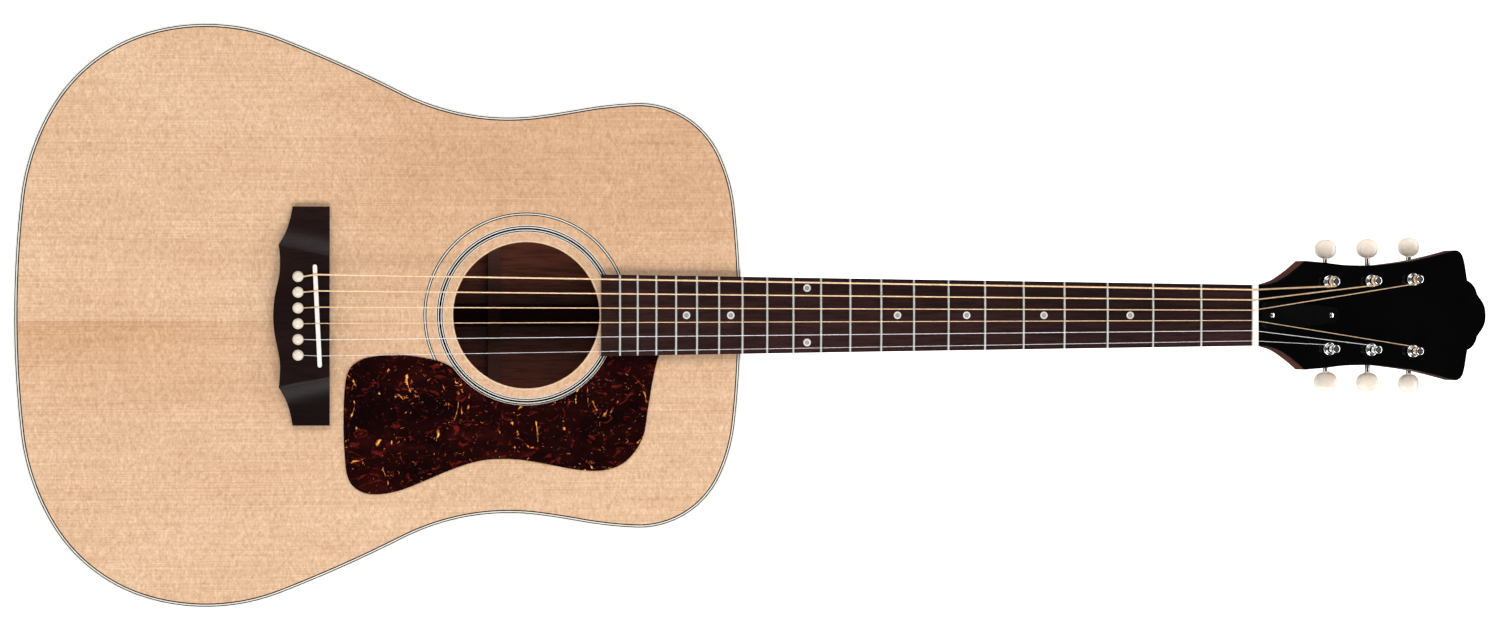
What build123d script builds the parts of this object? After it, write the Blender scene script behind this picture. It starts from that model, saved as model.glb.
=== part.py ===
# Steel-string acoustic guitar, dreadnought pattern, lying on its back.
# Units are millimetres, +Z up.  Row frame: origin at the middle of the flat
# back face, +X along the body towards the headstock, +Y to the bass side,
# +Z from the back to the soundboard.
#
# The pieces are first drawn in an instrument frame: x = 0 at the nut's
# fingerboard side, x positive towards the headstock, y positive to the bass
# side, z = 0 on the soundboard's outer face.  TO_ROW then turns the whole
# instrument until the tapered back lies flat on z = 0.
from build123d import *
import math
import os

# ------------------------------------------------------------ driving sizes
SCALE_LEN = 648.0          # open string length, 25.5 inch
FRETS = 20
NUT_W = 42.9               # fingerboard width at the nut
FB_END_X = 456.7           # fingerboard length
FB_END_W = 56.0            # fingerboard width at its end
FB_T = 6.4                 # fingerboard thickness on the centreline
FB_R = 406.4               # fingerboard radius, 16 inch
FRET_H = 1.1
FRET_W = 2.2
TOP_T = 3.0                # soundboard thickness
BACK_T = 2.8
EDGE_W = 3.3               # width of the binding and its purfling
BIND_H = 6.5               # top binding height
BACK_BIND_H = 6.0
SIDE_T = 2.2
LINING_IN = 5.4            # lining's inner face, inside the spruce line
LINING_H = 14.0
JOINT_X = 359.3            # neck to body joint, at fret 14
TAIL_X = 854.3
DEPTH_NECK = 105.0         # body depth at the neck
DEPTH_TAIL = 123.0         # body depth at the tail
HOLE_X = 507.7
HOLE_R = 50.3
HEAD_TILT = 14.0           # headstock angle, degrees
HEAD_T = 14.0              # headstock thickness with its face veneer
VENEER_T = 1.5
FACE_Z0 = 4.1              # height of the headstock face plane at x = 0
NUT_T = 4.4
BRIDGE_H = 9.0
PIN_X = 663.0
PIN_PITCH = 10.68
SADDLE_MID_X = 650.0
SADDLE_TOP = 12.0
GUARD_T = 1.3
TUNER_S = (62.7, 96.8, 130.9)      # post stations along the headstock face
TUNER_Y = (23.8, 24.5, 25.7)       # post distance from the centreline
WORM_OFF = 7.5             # worm axis beyond the post axis, towards the tip
WORM_DEPTH = 18.0          # worm and gear plane behind the headstock face
GEAR_TEETH = 14
GEAR_R = 5.0
WORM_R = 2.25
SHAFT_R = 1.3
SHAFT_OUT_R = 1.8
EAR_HOLE_R = 1.35          # running clearance 0.05 on the shaft
POST_R = 3.0
WAIST_R = 2.5
BUSH_IN_R = 3.06           # running clearance 0.06 on the post
POST_TOP = 10.4
WIND_MID = 6.9             # height of the string windings over the face
BUTTON_V = 23.45           # button centre outwards from the post axis
BUTTON_TURN = (0.0, 0.0, 0.0, 4.0, -6.0, -24.0)   # how each button stands

# string gauges, bass to treble
STRING_D = (1.35, 1.07, 0.81, 0.61, 0.41, 0.30)
STRING_NUT_Y = tuple(17.925 - 7.17 * i for i in range(6))
STRING_SADDLE_Y = tuple(27.65 - 11.06 * i for i in range(6))
PIN_Y = tuple(-0.4 + 2.5 * PIN_PITCH - PIN_PITCH * i for i in range(6))
# post used by each string: (station, side), bass strings on +Y
STRING_POST = ((0, 1), (1, 1), (2, 1), (2, -1), (1, -1), (0, -1))

# Body outline on the spruce and binding line: tangent arcs from the tail
# centre round the bass side to the neck, (radius, degrees), hollow arcs
# negative.
OUTLINE = [(710.6, 6.40), (154.1, 24.62), (110.1, 41.99), (134.6, 37.97),
           (916.2, 5.62), (-162.3, 34.50), (-609.9, 2.73), (267.1, 8.07),
           (59.1, 67.20), (114.6, 19.14)]

# Headstock half outline (distance from the nut line along the face, half
# width), split at its sharp corners.
HEAD_SEGS = [
    [(3.0, 21.45), (6.6, 21.5), (12.9, 21.8), (16.1, 22.5), (19.3, 23.4),
     (22.5, 24.5), (25.7, 26.1), (30.5, 29.0), (37.8, 34.1), (43.4, 38.5)],
    [(43.4, 38.5), (51.3, 37.9), (60.7, 37.2), (70.7, 36.1), (80.0, 35.6),
     (90.0, 35.5), (100.0, 35.6), (112.7, 36.8), (129.4, 38.9),
     (142.6, 41.3), (155.7, 44.2), (164.0, 46.2)],
    [(164.0, 46.2), (168.4, 46.4), (171.4, 44.0), (173.3, 39.6),
     (174.6, 33.5), (176.2, 25.0)],
    [(176.2, 25.0), (179.4, 23.3), (182.4, 20.0), (184.2, 15.5)],
    [(184.2, 15.5), (186.2, 12.9), (189.2, 9.0), (191.0, 4.8),
     (191.5, 0.0)],
]

# Pickguard edge (distance from the nut, y), from the rosette round the
# bridge side and the rim to the fingerboard.
GUARD_EDGE = [
    (557.6, -35.8), (569.5, -30.9), (577.7, -29.1), (585.8, -27.8),
    (594.0, -27.0), (602.2, -27.0), (610.3, -27.9), (618.5, -29.6),
    (623.5, -32.0), (627.6, -35.6), (630.2, -41.0), (631.5, -48.0),
    (632.2, -58.0), (632.5, -73.0), (632.2, -88.0), (631.3, -101.0),
    (630.0, -109.5), (627.6, -114.8), (623.9, -118.6), (618.5, -121.3),
    (610.3, -122.4), (602.2, -121.6), (594.0, -119.7), (585.8, -116.8),
    (577.7, -113.4), (569.5, -109.9), (561.3, -106.5), (553.1, -103.5),
    (544.9, -101.0), (536.7, -99.3), (528.5, -98.6), (520.3, -98.6),
    (512.1, -99.2), (503.8, -100.4), (495.6, -101.9), (487.4, -103.6),
    (479.1, -105.2), (470.9, -106.5), (462.6, -107.1), (454.3, -106.6),
    (446.0, -104.4), (440.0, -101.0), (434.5, -95.5), (430.3, -89.5),
    (427.4, -83.0), (425.6, -75.1), (424.6, -67.0), (423.2, -58.7),
    (421.8, -49.5), (420.2, -41.0), (418.6, -34.0), (416.6, -28.1)]

# Bridge rear edge (distance from the nut, |y|), from the wing tip inwards.
BRIDGE_FRONT_X = 641.8
BRIDGE_REAR_OUT = [(666.9, 74.0), (667.9, 68.7), (668.9, 64.7), (670.1, 60.6),
                   (671.7, 56.5), (673.8, 52.4), (676.1, 48.3)]
BRIDGE_REAR_IN = [(676.1, 48.3), (675.5, 44.2), (675.15, 38.0),
                  (675.3, 31.0), (676.4, 23.8), (678.2, 15.8),
                  (679.3, 8.0), (679.7, 0.0)]
BRIDGE_YC = -0.5

# --------------------------------------------------------------- frames
BETA = math.degrees(math.atan((DEPTH_TAIL - DEPTH_NECK) / (TAIL_X - JOINT_X)))
_b = math.radians(BETA)
_mx = -(TAIL_X + JOINT_X) / 2
_mz = -(DEPTH_NECK + DEPTH_TAIL) / 2
_ox = _mx * math.cos(_b) + _mz * math.sin(_b)
_oz = -_mx * math.sin(_b) + _mz * math.cos(_b)
TO_ROW = Pos(-_ox, 0, -_oz) * Rot(0, BETA, 0)

_t = math.radians(HEAD_TILT)
HEAD = Plane(origin=(0, 0, FACE_Z0), x_dir=(math.cos(_t), 0, -math.sin(_t)),
             z_dir=(math.sin(_t), 0, math.cos(_t)))
BACK = Plane(origin=(_mx, 0, _mz), x_dir=(math.cos(_b), 0, math.sin(_b)),
             z_dir=(-math.sin(_b), 0, math.cos(_b)))


def row_point(x, y, z):
    """instrument frame to row frame, one point"""
    return (x * math.cos(_b) + z * math.sin(_b) - _ox, y,
            -x * math.sin(_b) + z * math.cos(_b) - _oz)


def head_point(s, y, w):
    """headstock face frame to instrument frame"""
    return (s * math.cos(_t) + w * math.sin(_t), y,
            FACE_Z0 - s * math.sin(_t) + w * math.cos(_t))


def fret_x(n):
    return SCALE_LEN * (1 - 2 ** (-n / 12))


def fb_half(X):
    return (NUT_W + (FB_END_W - NUT_W) * X / FB_END_X) / 2


def fb_top(y, lift=0.0):
    return FB_T - FB_R + math.sqrt((FB_R + lift) ** 2 - y * y)


# --------------------------------------------------------------- helpers
def outline_arcs(off):
    """half outline as (start, mid, end) triples plus the closing neck arc"""
    x, y, h = -TAIL_X + EDGE_W, 0.0, 90.0
    arcs = []

    def step(x, y, h, r, ang):
        hr = math.radians(h)
        if r > 0:
            cx, cy = x + r * math.sin(hr), y - r * math.cos(hr)
            a0 = h + 90
            a1 = a0 - ang
            rr = r + off
            h1 = h - ang
        else:
            cx, cy = x + r * math.sin(hr), y - r * math.cos(hr)
            a0 = h - 90
            a1 = a0 + ang
            rr = -r - off
            h1 = h + ang
        def pt(a, q):
            return (cx + q * math.cos(math.radians(a)),
                    cy + q * math.sin(math.radians(a)))
        nx, ny = pt(a1, abs(r))
        return (pt(a0, rr), pt((a0 + a1) / 2, rr), pt(a1, rr)), nx, ny, h1

    for r, ang in OUTLINE:
        arc, x, y, h = step(x, y, h, r, ang)
        arcs.append(arc)
    r_last = y / math.cos(math.radians(h))
    arc, x, y, h = step(x, y, h, r_last, h + 90)
    arcs.append(arc)
    return arcs


def outline_face(off):
    arcs = outline_arcs(off)
    first, last = arcs[0], arcs[-1]
    m = lambda p: (p[0], -p[1])
    edges = [ThreePointArc(m(first[2]), first[0], first[2])]
    edges += [ThreePointArc(*a) for a in arcs[1:-1]]
    edges.append(ThreePointArc(last[0], last[2], m(last[0])))
    edges += [ThreePointArc(m(a[2]), m(a[1]), m(a[0]))
              for a in reversed(arcs[1:-1])]
    return make_face(edges)


def prism(off, z0, z1):
    """body outline, offset outwards by off, between two heights"""
    return extrude(Pos(0, 0, z0) * outline_face(off), z1 - z0, dir=(0, 0, 1))


def above_back(h):
    """everything higher than h over the back's outer face"""
    return BACK * Pos(0, 0, h + 200) * Box(1500, 800, 400)


def box(x0, x1, y0, y1, z0, z1):
    return Pos((x0 + x1) / 2, (y0 + y1) / 2, (z0 + z1) / 2) * Box(
        abs(x1 - x0), abs(y1 - y0), abs(z1 - z0))


def cyl_x(r, x0, x1, y=0.0, z=0.0):
    return Pos((x0 + x1) / 2, y, z) * Rot(0, 90, 0) * Cylinder(r, abs(x1 - x0))


def cyl_z(r, x, y, z0, z1):
    return Pos(x, y, (z0 + z1) / 2) * Cylinder(r, z1 - z0)


def poly_prism(pts, z0, z1):
    return extrude(Pos(0, 0, z0) * make_face(Polyline(*pts, close=True)),
                   z1 - z0, dir=(0, 0, 1))


def round_path(points, radii):
    """straight runs joined by tangent arcs"""
    P = [Vector(*p) for p in points]
    edges = []
    start = P[0]
    for i in range(1, len(P) - 1):
        a = (P[i - 1] - P[i]).normalized()
        b = (P[i + 1] - P[i]).normalized()
        half = math.acos(max(-1, min(1, a.dot(b)))) / 2
        r = radii[i - 1]
        cut = r / math.tan(half)
        t0 = P[i] + a * cut
        t1 = P[i] + b * cut
        bis = (a + b).normalized()
        mid = P[i] + bis * (r / math.sin(half) - r)
        edges.append(Line(start, t0))
        edges.append(ThreePointArc(t0, mid, t1))
        start = t1
    edges.append(Line(start, P[-1]))
    return Wire(edges)


def tube(points, radii, r):
    path = round_path(points, radii)
    d = (Vector(*points[1]) - Vector(*points[0])).normalized()
    sec = Plane(origin=points[0], z_dir=d) * Circle(r)
    return sweep(sec, path=path)


def solids(*items):
    out = []
    for it in items:
        if isinstance(it, (list, tuple)):
            out += solids(*it)
        else:
            out += list(it.solids())
    return out


PARTS = {}


def keep(name, *items):
    PARTS[name] = solids(*items)


# ------------------------------------------------------------------ strings
def string_points(i):
    """centreline of string i, and the corner radii"""
    d = STRING_D[i]
    r = d / 2
    st, side = STRING_POST[i]
    s_p, y_p = TUNER_S[st], side * TUNER_Y[st]
    yn = STRING_NUT_Y[i]
    ys = STRING_SADDLE_Y[i]
    gap = WAIST_R + d + r + 0.22          # centreline clear of the winding
    sn = 2.0                              # where the string leaves the nut
    # tangent from the nut to the inner side of the winding, in (s, y)
    ds, dy = s_p - sn, y_p - yn
    dist = math.hypot(ds, dy)
    base = math.atan2(dy, ds)
    turn = math.asin(gap / dist)
    ang = base - side * turn
    run = dist * math.cos(turn)
    p0 = head_point(sn + run * math.cos(ang), yn + run * math.sin(ang),
                    WIND_MID)
    zn = fb_top(yn, 0.0) + 1.55 + r
    p1 = (0.9, yn, zn)
    xs = -(SADDLE_MID_X + ys * math.tan(math.radians(2.8)))
    zs = saddle_top(ys) + r - 0.12
    p2 = (xs, ys, zs)
    xv = -(PIN_X - 2.5 - r - 0.02)
    p3 = (xv, PIN_Y[i], BRIDGE_H + 0.35)
    p4 = (xv, PIN_Y[i], -9.0)
    return [p0, p1, p2, p3, p4], [6.0, 2.2, max(1.3, 1.6 * r + 0.4)]


def saddle_top(y):
    R = 450.0
    return SADDLE_TOP - R + math.sqrt(R * R - y * y)


def build_strings():
    out, cuts = [], []
    for i in range(6):
        pts, rad = string_points(i)
        r = STRING_D[i] / 2
        out.append(tube(pts, rad, r))
        cuts.append(tube(pts[1:], rad[1:], r + 0.04))
        # the run through the nut, a little wider than the string
        a, b = Vector(*pts[1]), Vector(*pts[2])
        c = Vector(*pts[0])
        d1 = (b - a).normalized()
        d0 = (c - a).normalized()
        seg1 = Plane(origin=a + d1 * -1.5, z_dir=d1) * Pos(0, 0, 10) * Cylinder(r + 0.05, 20)
        seg0 = Plane(origin=a + d0 * -1.5, z_dir=d0) * Pos(0, 0, 10) * Cylinder(r + 0.05, 20)
        cuts[-1] = (cuts[-1], seg1, seg0)
    return out, cuts


# --------------------------------------------------------------------- body
def build_body(strings, cuts):
    cav_mid = prism(EDGE_W - SIDE_T, -140, -BIND_H) & above_back(BACK_BIND_H)
    # the space inside the box, between soundboard, back and sides
    upper_rim = prism(0.0, -BIND_H, -TOP_T)
    lower_rim = (prism(0.0, -140, -20) & above_back(BACK_T)) - above_back(BACK_BIND_H)
    room = cav_mid + upper_rim + lower_rim

    # soundboard with its sound hole and rosette grooves
    hx = -HOLE_X
    top = prism(0.0, -TOP_T, 0) - cyl_z(HOLE_R, hx, 0, -10, 5)

    def ring(r0, r1):
        return cyl_z(r1, hx, 0, -1.2, 0) - cyl_z(r0, hx, 0, -3, 3)
    rings = [ring(57.1, 61.8), ring(68.4, 70.7)]
    for rg in rings:
        top = top - rg
    for y in PIN_Y:
        top = top - cyl_z(2.55, -PIN_X, y, -12, 5)
    for c in cuts:
        top = top - c[0]
    keep('soundboard', top)
    keep('rosette', rings)

    # back
    back = (prism(0.0, -140, -20) & above_back(0.0)) - above_back(BACK_T)
    keep('back_plate', back)

    # bindings: a top ring and a back ring
    tb = prism(EDGE_W, -BIND_H, 0) - prism(0.0, -BIND_H - 1, 1)
    bb = ((prism(EDGE_W, -140, -20) & above_back(0.0))
          - above_back(BACK_BIND_H)) - prism(0.0, -150, -10)
    keep('bindings', tb, bb)

    # tenon of the neck and its way through the side
    tenon = box(-385, -350, -12, 12, -78, -8)
    # sides, bent in two halves that meet at the neck and the tail
    sides = ((prism(EDGE_W, -140, -BIND_H) & above_back(BACK_BIND_H))
             - prism(EDGE_W - SIDE_T, -150, 0))
    sides = sides - tenon
    bass = sides & box(-900, -300, 0, 300, -150, 10)
    treb = sides & box(-900, -300, -300, 0, -150, 10)
    keep('sides', bass, treb)

    # end blocks
    nb_box = box(-JOINT_X - 46, -300, -38, 38, -150, 10)
    tb_box = box(-900, -TAIL_X + 26, -32, 32, -150, 10)
    neck_block = (room & nb_box) - tenon
    tail_block = room & tb_box
    keep('neck_block', neck_block)
    keep('tail_block', tail_block)

    # linings, glued along both edges of the sides
    inner = prism(-LINING_IN, -150, 10)
    lin = (room - inner) - box(-JOINT_X - 46, -300, -38, 38, -150, 10) \
        - box(-900, -TAIL_X + 26, -32, 32, -150, 10)
    lin_top = lin & box(-900, -300, -300, 300, -TOP_T - LINING_H, 0)
    lin_back = lin - above_back(BACK_T + LINING_H)
    keep('linings', lin_top, lin_back)

    # soundboard braces
    clip = prism(-LINING_IN - 0.8, -60, 5) - box(
        -JOINT_X - 46.5, -300, -38.5, 38.5, -150, 10)

    def bar(x0, y0, x1, y1, w, h, z_top=-TOP_T):
        L = math.hypot(x1 - x0, y1 - y0)
        a = math.degrees(math.atan2(y1 - y0, x1 - x0))
        return (Pos((x0 + x1) / 2, (y0 + y1) / 2, z_top - h / 2)
                * Rot(0, 0, a) * Box(L, w, h))
    cx = -585.0
    leg = []
    for sgn in (1, -1):
        a = math.radians(49 * sgn)
        dx, dy = math.cos(a), math.sin(a)
        leg.append(bar(cx - 240 * dx, -240 * dy, cx + 240 * dx, 240 * dy, 8, 14) & clip)
    lap = box(cx - 8, cx + 8, -8, 8, -TOP_T - 14, -TOP_T)
    overlap = leg[0] & leg[1] & lap
    low = overlap & box(cx - 9, cx + 9, -9, 9, -TOP_T - 14.5, -TOP_T - 7)
    high = overlap & box(cx - 9, cx + 9, -9, 9, -TOP_T - 7, -TOP_T + 1)
    leg0 = leg[0] - low
    leg1 = leg[1] - high
    braces = [leg0, leg1]
    legs = leg[0] + leg[1]
    braces.append(bar(-430, -160, -430, 160, 12, 14) & clip)
    for (a, b) in (((-703, 118), (-768, -145)), ((-757, 160), (-812, -105))):
        braces.append((bar(a[0], a[1], b[0], b[1], 7, 10) & clip) - legs)
    for s in (1, -1):
        braces.append((bar(-628, 60 * s, -618, 175 * s, 5.5, 8) & clip) - legs)
        braces.append((bar(-670, 100 * s, -684, 200 * s, 5.5, 8) & clip) - legs)
    clean = []
    for b in braces:
        ss = sorted(b.solids(), key=lambda q: -q.volume)
        clean.append(ss[0])
    keep('top_braces', clean)

    # bridge plate, inside under the bridge and between the brace legs
    plate = poly_prism([(-634, -38), (-634, 38), (-684, 66), (-684, -66)],
                       -TOP_T - 2.5, -TOP_T) - legs
    for y in PIN_Y:
        plate = plate - cyl_z(2.55, -PIN_X, y, -12, 5)
    for c in cuts:
        plate = plate - c[0]
    plate = max(plate.solids(), key=lambda q: q.volume)
    keep('bridge_plate', plate)

    # back braces and the strip over the centre seam
    bclip = (prism(-LINING_IN - 0.8, -150, -20) & above_back(BACK_T)) - box(
        -JOINT_X - 46.5, -300, -38.5, 38.5, -150, 10)
    bb_list = []
    strip = (BACK * Pos(0, 0, BACK_T + 1.0) * Box(700, 16, 2)) & box(
        -TAIL_X + 27, -JOINT_X - 47, -20, 20, -150, 0)
    for X, w, h in ((432, 9, 14), (527, 9, 14), (650, 18, 9), (758, 18, 9)):
        blk = (box(-X - w / 2, -X + w / 2, -250, 250, -150, -40)
               & bclip) - above_back(BACK_T + h)
        bb_list.append(blk)
        strip = strip - box(-X - w / 2, -X + w / 2, -50, 50, -150, 0)
    keep('back_braces', bb_list, strip)
    return legs


# --------------------------------------------------------------------- neck
def half_round(X, w, d):
    """neck section at distance X from the nut: flat top at z = 0"""
    x = -X
    n = 24
    pts = []
    for k in range(n + 1):
        a = math.pi * k / n
        pts.append((x, w * math.cos(a), -d * math.sin(a) ** 0.92))
    pts[0] = (x, w, 0)
    pts[-1] = (x, -w, 0)
    return make_face([Spline(*pts), Line((x, -w, 0), (x, w, 0))])


def head_face(y_scale=1.0):
    """headstock front outline as a face in the headstock plane"""
    edges = []
    segs = HEAD_SEGS
    up = [[(s, y) for s, y in seg] for seg in segs]
    dn = [[(s, -y) for s, y in seg] for seg in segs]
    edges.append(Line(dn[0][0], up[0][0]))
    for seg in up[:-1]:
        edges.append(Spline(*seg))
    tip = up[-1] + [(s, y) for s, y in reversed(dn[-1][:-1])]
    edges.append(Spline(*tip))
    for seg in reversed(dn[:-1]):
        edges.append(Spline(*reversed(seg)))
    return make_face(edges)


def build_neck():
    hx = NUT_T
    shaft = loft([half_round(-16.0, 20.8, 14.2), half_round(-4.0, 21.2, 14.9),
                  half_round(20.0, fb_half(20), 15.2),
                  half_round(150.0, fb_half(150), 15.8),
                  half_round(288.0, fb_half(288), 17.4)], ruled=True)
    secs = []
    x_a, x_b = 288.0, 336.0
    for k in range(0, 11):
        a = math.radians(80.0 * k / 10)
        X = x_a + (x_b - x_a) * math.sin(a) / math.sin(math.radians(80))
        d = 17.4 + (104 - 17.4) * (1 - math.cos(a)) / (1 - math.cos(math.radians(80)))
        secs.append(half_round(X, fb_half(X), d))
    secs.append(half_round(349.0, fb_half(349), 109))
    secs.append(half_round(364.0, fb_half(364), 110))
    heel = loft(secs, ruled=True)
    heel_wood = heel & box(-370, -280, -40, 40, -97, 0)
    cap = heel & box(-370, -280, -40, 40, -100, -97)
    body = prism(EDGE_W, -140, 5)
    heel_wood = heel_wood - body
    cap = cap - body
    head = extrude(HEAD * Pos(0, 0, -HEAD_T) * head_face(),
                   HEAD_T - VENEER_T, dir=HEAD.z_dir)
    neck = shaft + heel_wood + head
    neck = neck - (HEAD * Pos(100 + 0, 0, 50 - VENEER_T) * Box(200, 120, 100)
                   & box(hx, 300, -100, 100, -100, 100))
    neck = neck - box(-600, hx, -60, 60, 0, 60)
    tenon = box(-384.8, -354, -12, 12, -78, -8)
    neck = neck + tenon
    # the tenon meets the body's side, so trim it to the opening there
    # truss rod channel, open under the fingerboard, bored on into the head
    neck = neck - box(-352, 4.4, -2.6, 2.6, -10.6, 0) - cyl_x(2.6, 0, 24, 0, -8)
    pocket = HEAD * Pos(33, 0, -5.25) * Box(25, 10, 10.5)
    neck = neck - pocket
    veneer = extrude(HEAD * Pos(0, 0, -VENEER_T) * head_face(), VENEER_T,
                     dir=HEAD.z_dir)
    veneer = veneer & box(hx, 300, -100, 100, -200, 100)
    veneer = veneer - (HEAD * Pos(33, 0, -5.25) * Box(25, 10, 14))
    rod = cyl_x(2.5, -350, 36, 0, -8)
    nut = extrude(Plane(origin=(25.5, 0, -8), x_dir=(0, 1, 0), z_dir=(1, 0, 0))
                  * RegularPolygon(3.7, 6), 7, dir=(1, 0, 0)) - cyl_x(2.5, 20, 40, 0, -8)
    keep('truss_rod', rod, nut)
    # cover plate: a wide round end by the nut, tapering to a narrow one
    c0, r0, c1, r1 = 17.6, 10.6, 64.2, 5.6
    d = c1 - c0
    phi = math.asin((r0 - r1) / d)
    a0, a1 = (c0 + r0 * math.sin(phi), r0 * math.cos(phi)), (c1 + r1 * math.sin(phi), r1 * math.cos(phi))
    cov = make_face([
        ThreePointArc((a0[0], -a0[1]), (c0 - r0, 0), a0),
        Line(a0, a1),
        ThreePointArc(a1, (c1 + r1, 0), (a1[0], -a1[1])),
        Line((a1[0], -a1[1]), (a0[0], -a0[1]))])
    cover = extrude(HEAD * cov, 2.0, dir=HEAD.z_dir)
    screws = []
    for s in (15.7, 63.2):
        shank = HEAD * Pos(s, 0, -1.0) * Cylinder(0.7, 6.0)
        headc = HEAD * Pos(s, 0, 2.35) * Cylinder(1.7, 0.7)
        screws.append(shank + headc)
        cover = cover - shank
        veneer = veneer - shank
        neck = neck - shank
    keep('truss_rod_cover', cover)
    return neck, veneer, cap, screws


# -------------------------------------------------------------- fingerboard
def build_fingerboard():
    core = cyl_x(FB_R, -500, 50, 0, FB_T - FB_R)
    fb = poly_prism([(0, NUT_W / 2), (0, -NUT_W / 2), (-FB_END_X, -FB_END_W / 2),
                     (-FB_END_X, FB_END_W / 2)], 0, FB_T + 1) & core
    fb0 = fb
    axis = Axis((0, 0, FB_T - FB_R), (1, 0, 0))
    frets = []
    for n in range(1, FRETS + 1):
        X = fret_x(n)
        hw = fb_half(X) - 0.15
        x = -X
        w = FRET_W / 2
        prof = make_face([
            Line((x - w, 0, FB_T), (x + w, 0, FB_T)),
            ThreePointArc((x + w, 0, FB_T), (x, 0, FB_T + FRET_H), (x - w, 0, FB_T))])
        ang = 2 * math.degrees(math.asin(hw / FB_R))
        crown = revolve(prof, axis=axis, revolution_arc=ang)
        crown = crown.rotate(axis, -ang / 2)
        cy = crown.center().Y
        if abs(cy) > 1:
            crown = crown.rotate(axis, ang if cy < 0 else -ang)
        slot = box(x - 0.3, x + 0.3, -hw + 1.2, hw - 1.2, FB_T - 2.4, FB_T + 1)
        tang = slot & fb0
        fb = fb - slot
        frets.append(crown + tang)
    dots = []
    for n in (3, 5, 7, 9, 12, 15, 17):
        X = (fret_x(n) + fret_x(n - 1)) / 2
        for y in ((18.8, -18.8) if n == 12 else (0.0,)):
            d = cyl_z(2.6, -X, y, FB_T - 2.2, FB_T + 1) & fb0
            dots.append(d)
            fb = fb - cyl_z(2.6, -X, y, FB_T - 2.2, FB_T + 2)
    keep('fingerboard', fb)
    keep('frets', frets)
    keep('position_dots', dots)
    nut = box(0, NUT_T, -NUT_W / 2, NUT_W / 2, 0, 12) & cyl_x(
        FB_R + 2.3, -10, 20, 0, FB_T - FB_R)
    back_cut = (Pos(NUT_T, 0, 7.9) * Rot(0, 18, 0) * Pos(0, 0, 5) * Box(20, 60, 10)) \
        & box(1.6, 20, -40, 40, 0, 30)
    nut = nut - back_cut
    return nut


# ------------------------------------------------------------------- bridge
def build_bridge(cuts):
    yc = BRIDGE_YC

    def up(p):
        return (-p[0], yc + p[1])

    def dn(p):
        return (-p[0], yc - p[1])
    tip = (BRIDGE_FRONT_X, 74.6)
    tip2 = (666.9, 74.6)
    rear_out = [tip2] + BRIDGE_REAR_OUT[1:]
    rin = BRIDGE_REAR_IN
    mid = [up(p) for p in rin] + [dn(p) for p in reversed(rin[:-1])]
    edges = [Line(dn(tip), up(tip)), Line(up(tip), up(tip2)),
             Spline(*[up(p) for p in rear_out]), Spline(*mid),
             Spline(*[dn(p) for p in reversed(rear_out)]),
             Line(dn(tip2), dn(tip))]
    br = extrude(make_face(edges), BRIDGE_H, dir=(0, 0, 1))
    # wings scooped down to a thin edge, past a curved crest on each side
    for s in (1, -1):
        prof = make_face([
            Line((0, 0, BRIDGE_H), (0, 0, BRIDGE_H + 5)),
            Line((0, 0, BRIDGE_H + 5), (0, 60, BRIDGE_H + 5)),
            Line((0, 60, BRIDGE_H + 5), (0, 60, 3.4)),
            Line((0, 60, 3.4), (0, 21, 4.0)),
            ThreePointArc((0, 21, 4.0), (0, 8.0, 5.7), (0, 0, BRIDGE_H))])
        tool = extrude(prof, 90, dir=(1, 0, 0))
        tool = Pos(-45, 0, 0) * tool
        if s < 0:
            tool = mirror(tool, about=Plane.XZ)
        tool = Pos(-655, yc + s * 43.2, 0) * Rot(0, 0, -s * 12.0) * tool
        br = br - tool
    # saddle in its slot
    L, T = 70.0, 2.9
    sad = Pos(-SADDLE_MID_X, yc, 0) * Rot(0, 0, 2.8) * Box(
        T, L, 20, align=(Align.CENTER, Align.CENTER, Align.MIN))
    sad = Pos(0, 0, 3.0) * sad
    vert = sad.edges().filter_by(Axis.Z)
    sad = fillet(vert, T / 2 - 0.05)
    br = br - sad
    sad = sad & (Pos(-650, 0, 0) * cyl_x(450.0, -40, 40, 0, SADDLE_TOP - 450.0))
    pins = []
    for i, y in enumerate(PIN_Y):
        x = -PIN_X
        br = br - cyl_z(2.55, x, y, -2, BRIDGE_H + 2)
        prof = make_face(Polyline((x, y, -12), (x + 2.1, y, -12),
                                  (x + 2.5, y, -11), (x + 2.5, y, BRIDGE_H),
                                  (x + 3.75, y, BRIDGE_H),
                                  (x + 3.75, y, BRIDGE_H + 0.9),
                                  (x + 3.1, y, BRIDGE_H + 1.9),
                                  (x + 1.8, y, BRIDGE_H + 2.6),
                                  (x, y, BRIDGE_H + 2.85), close=True))
        pins.append(revolve(prof, axis=Axis((x, y, 0), (0, 0, 1))))
    for k, c in enumerate(cuts):
        br = br - c[0]
        sad = sad - c[0]
        pins[k] = pins[k] - c[0]
    # strings leave the bridge through short ramps cut in front of the pins
    keep('bridge', br)
    keep('saddle', sad)
    keep('bridge_pins', [max(p.solids(), key=lambda q: q.volume) for p in pins])


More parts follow.
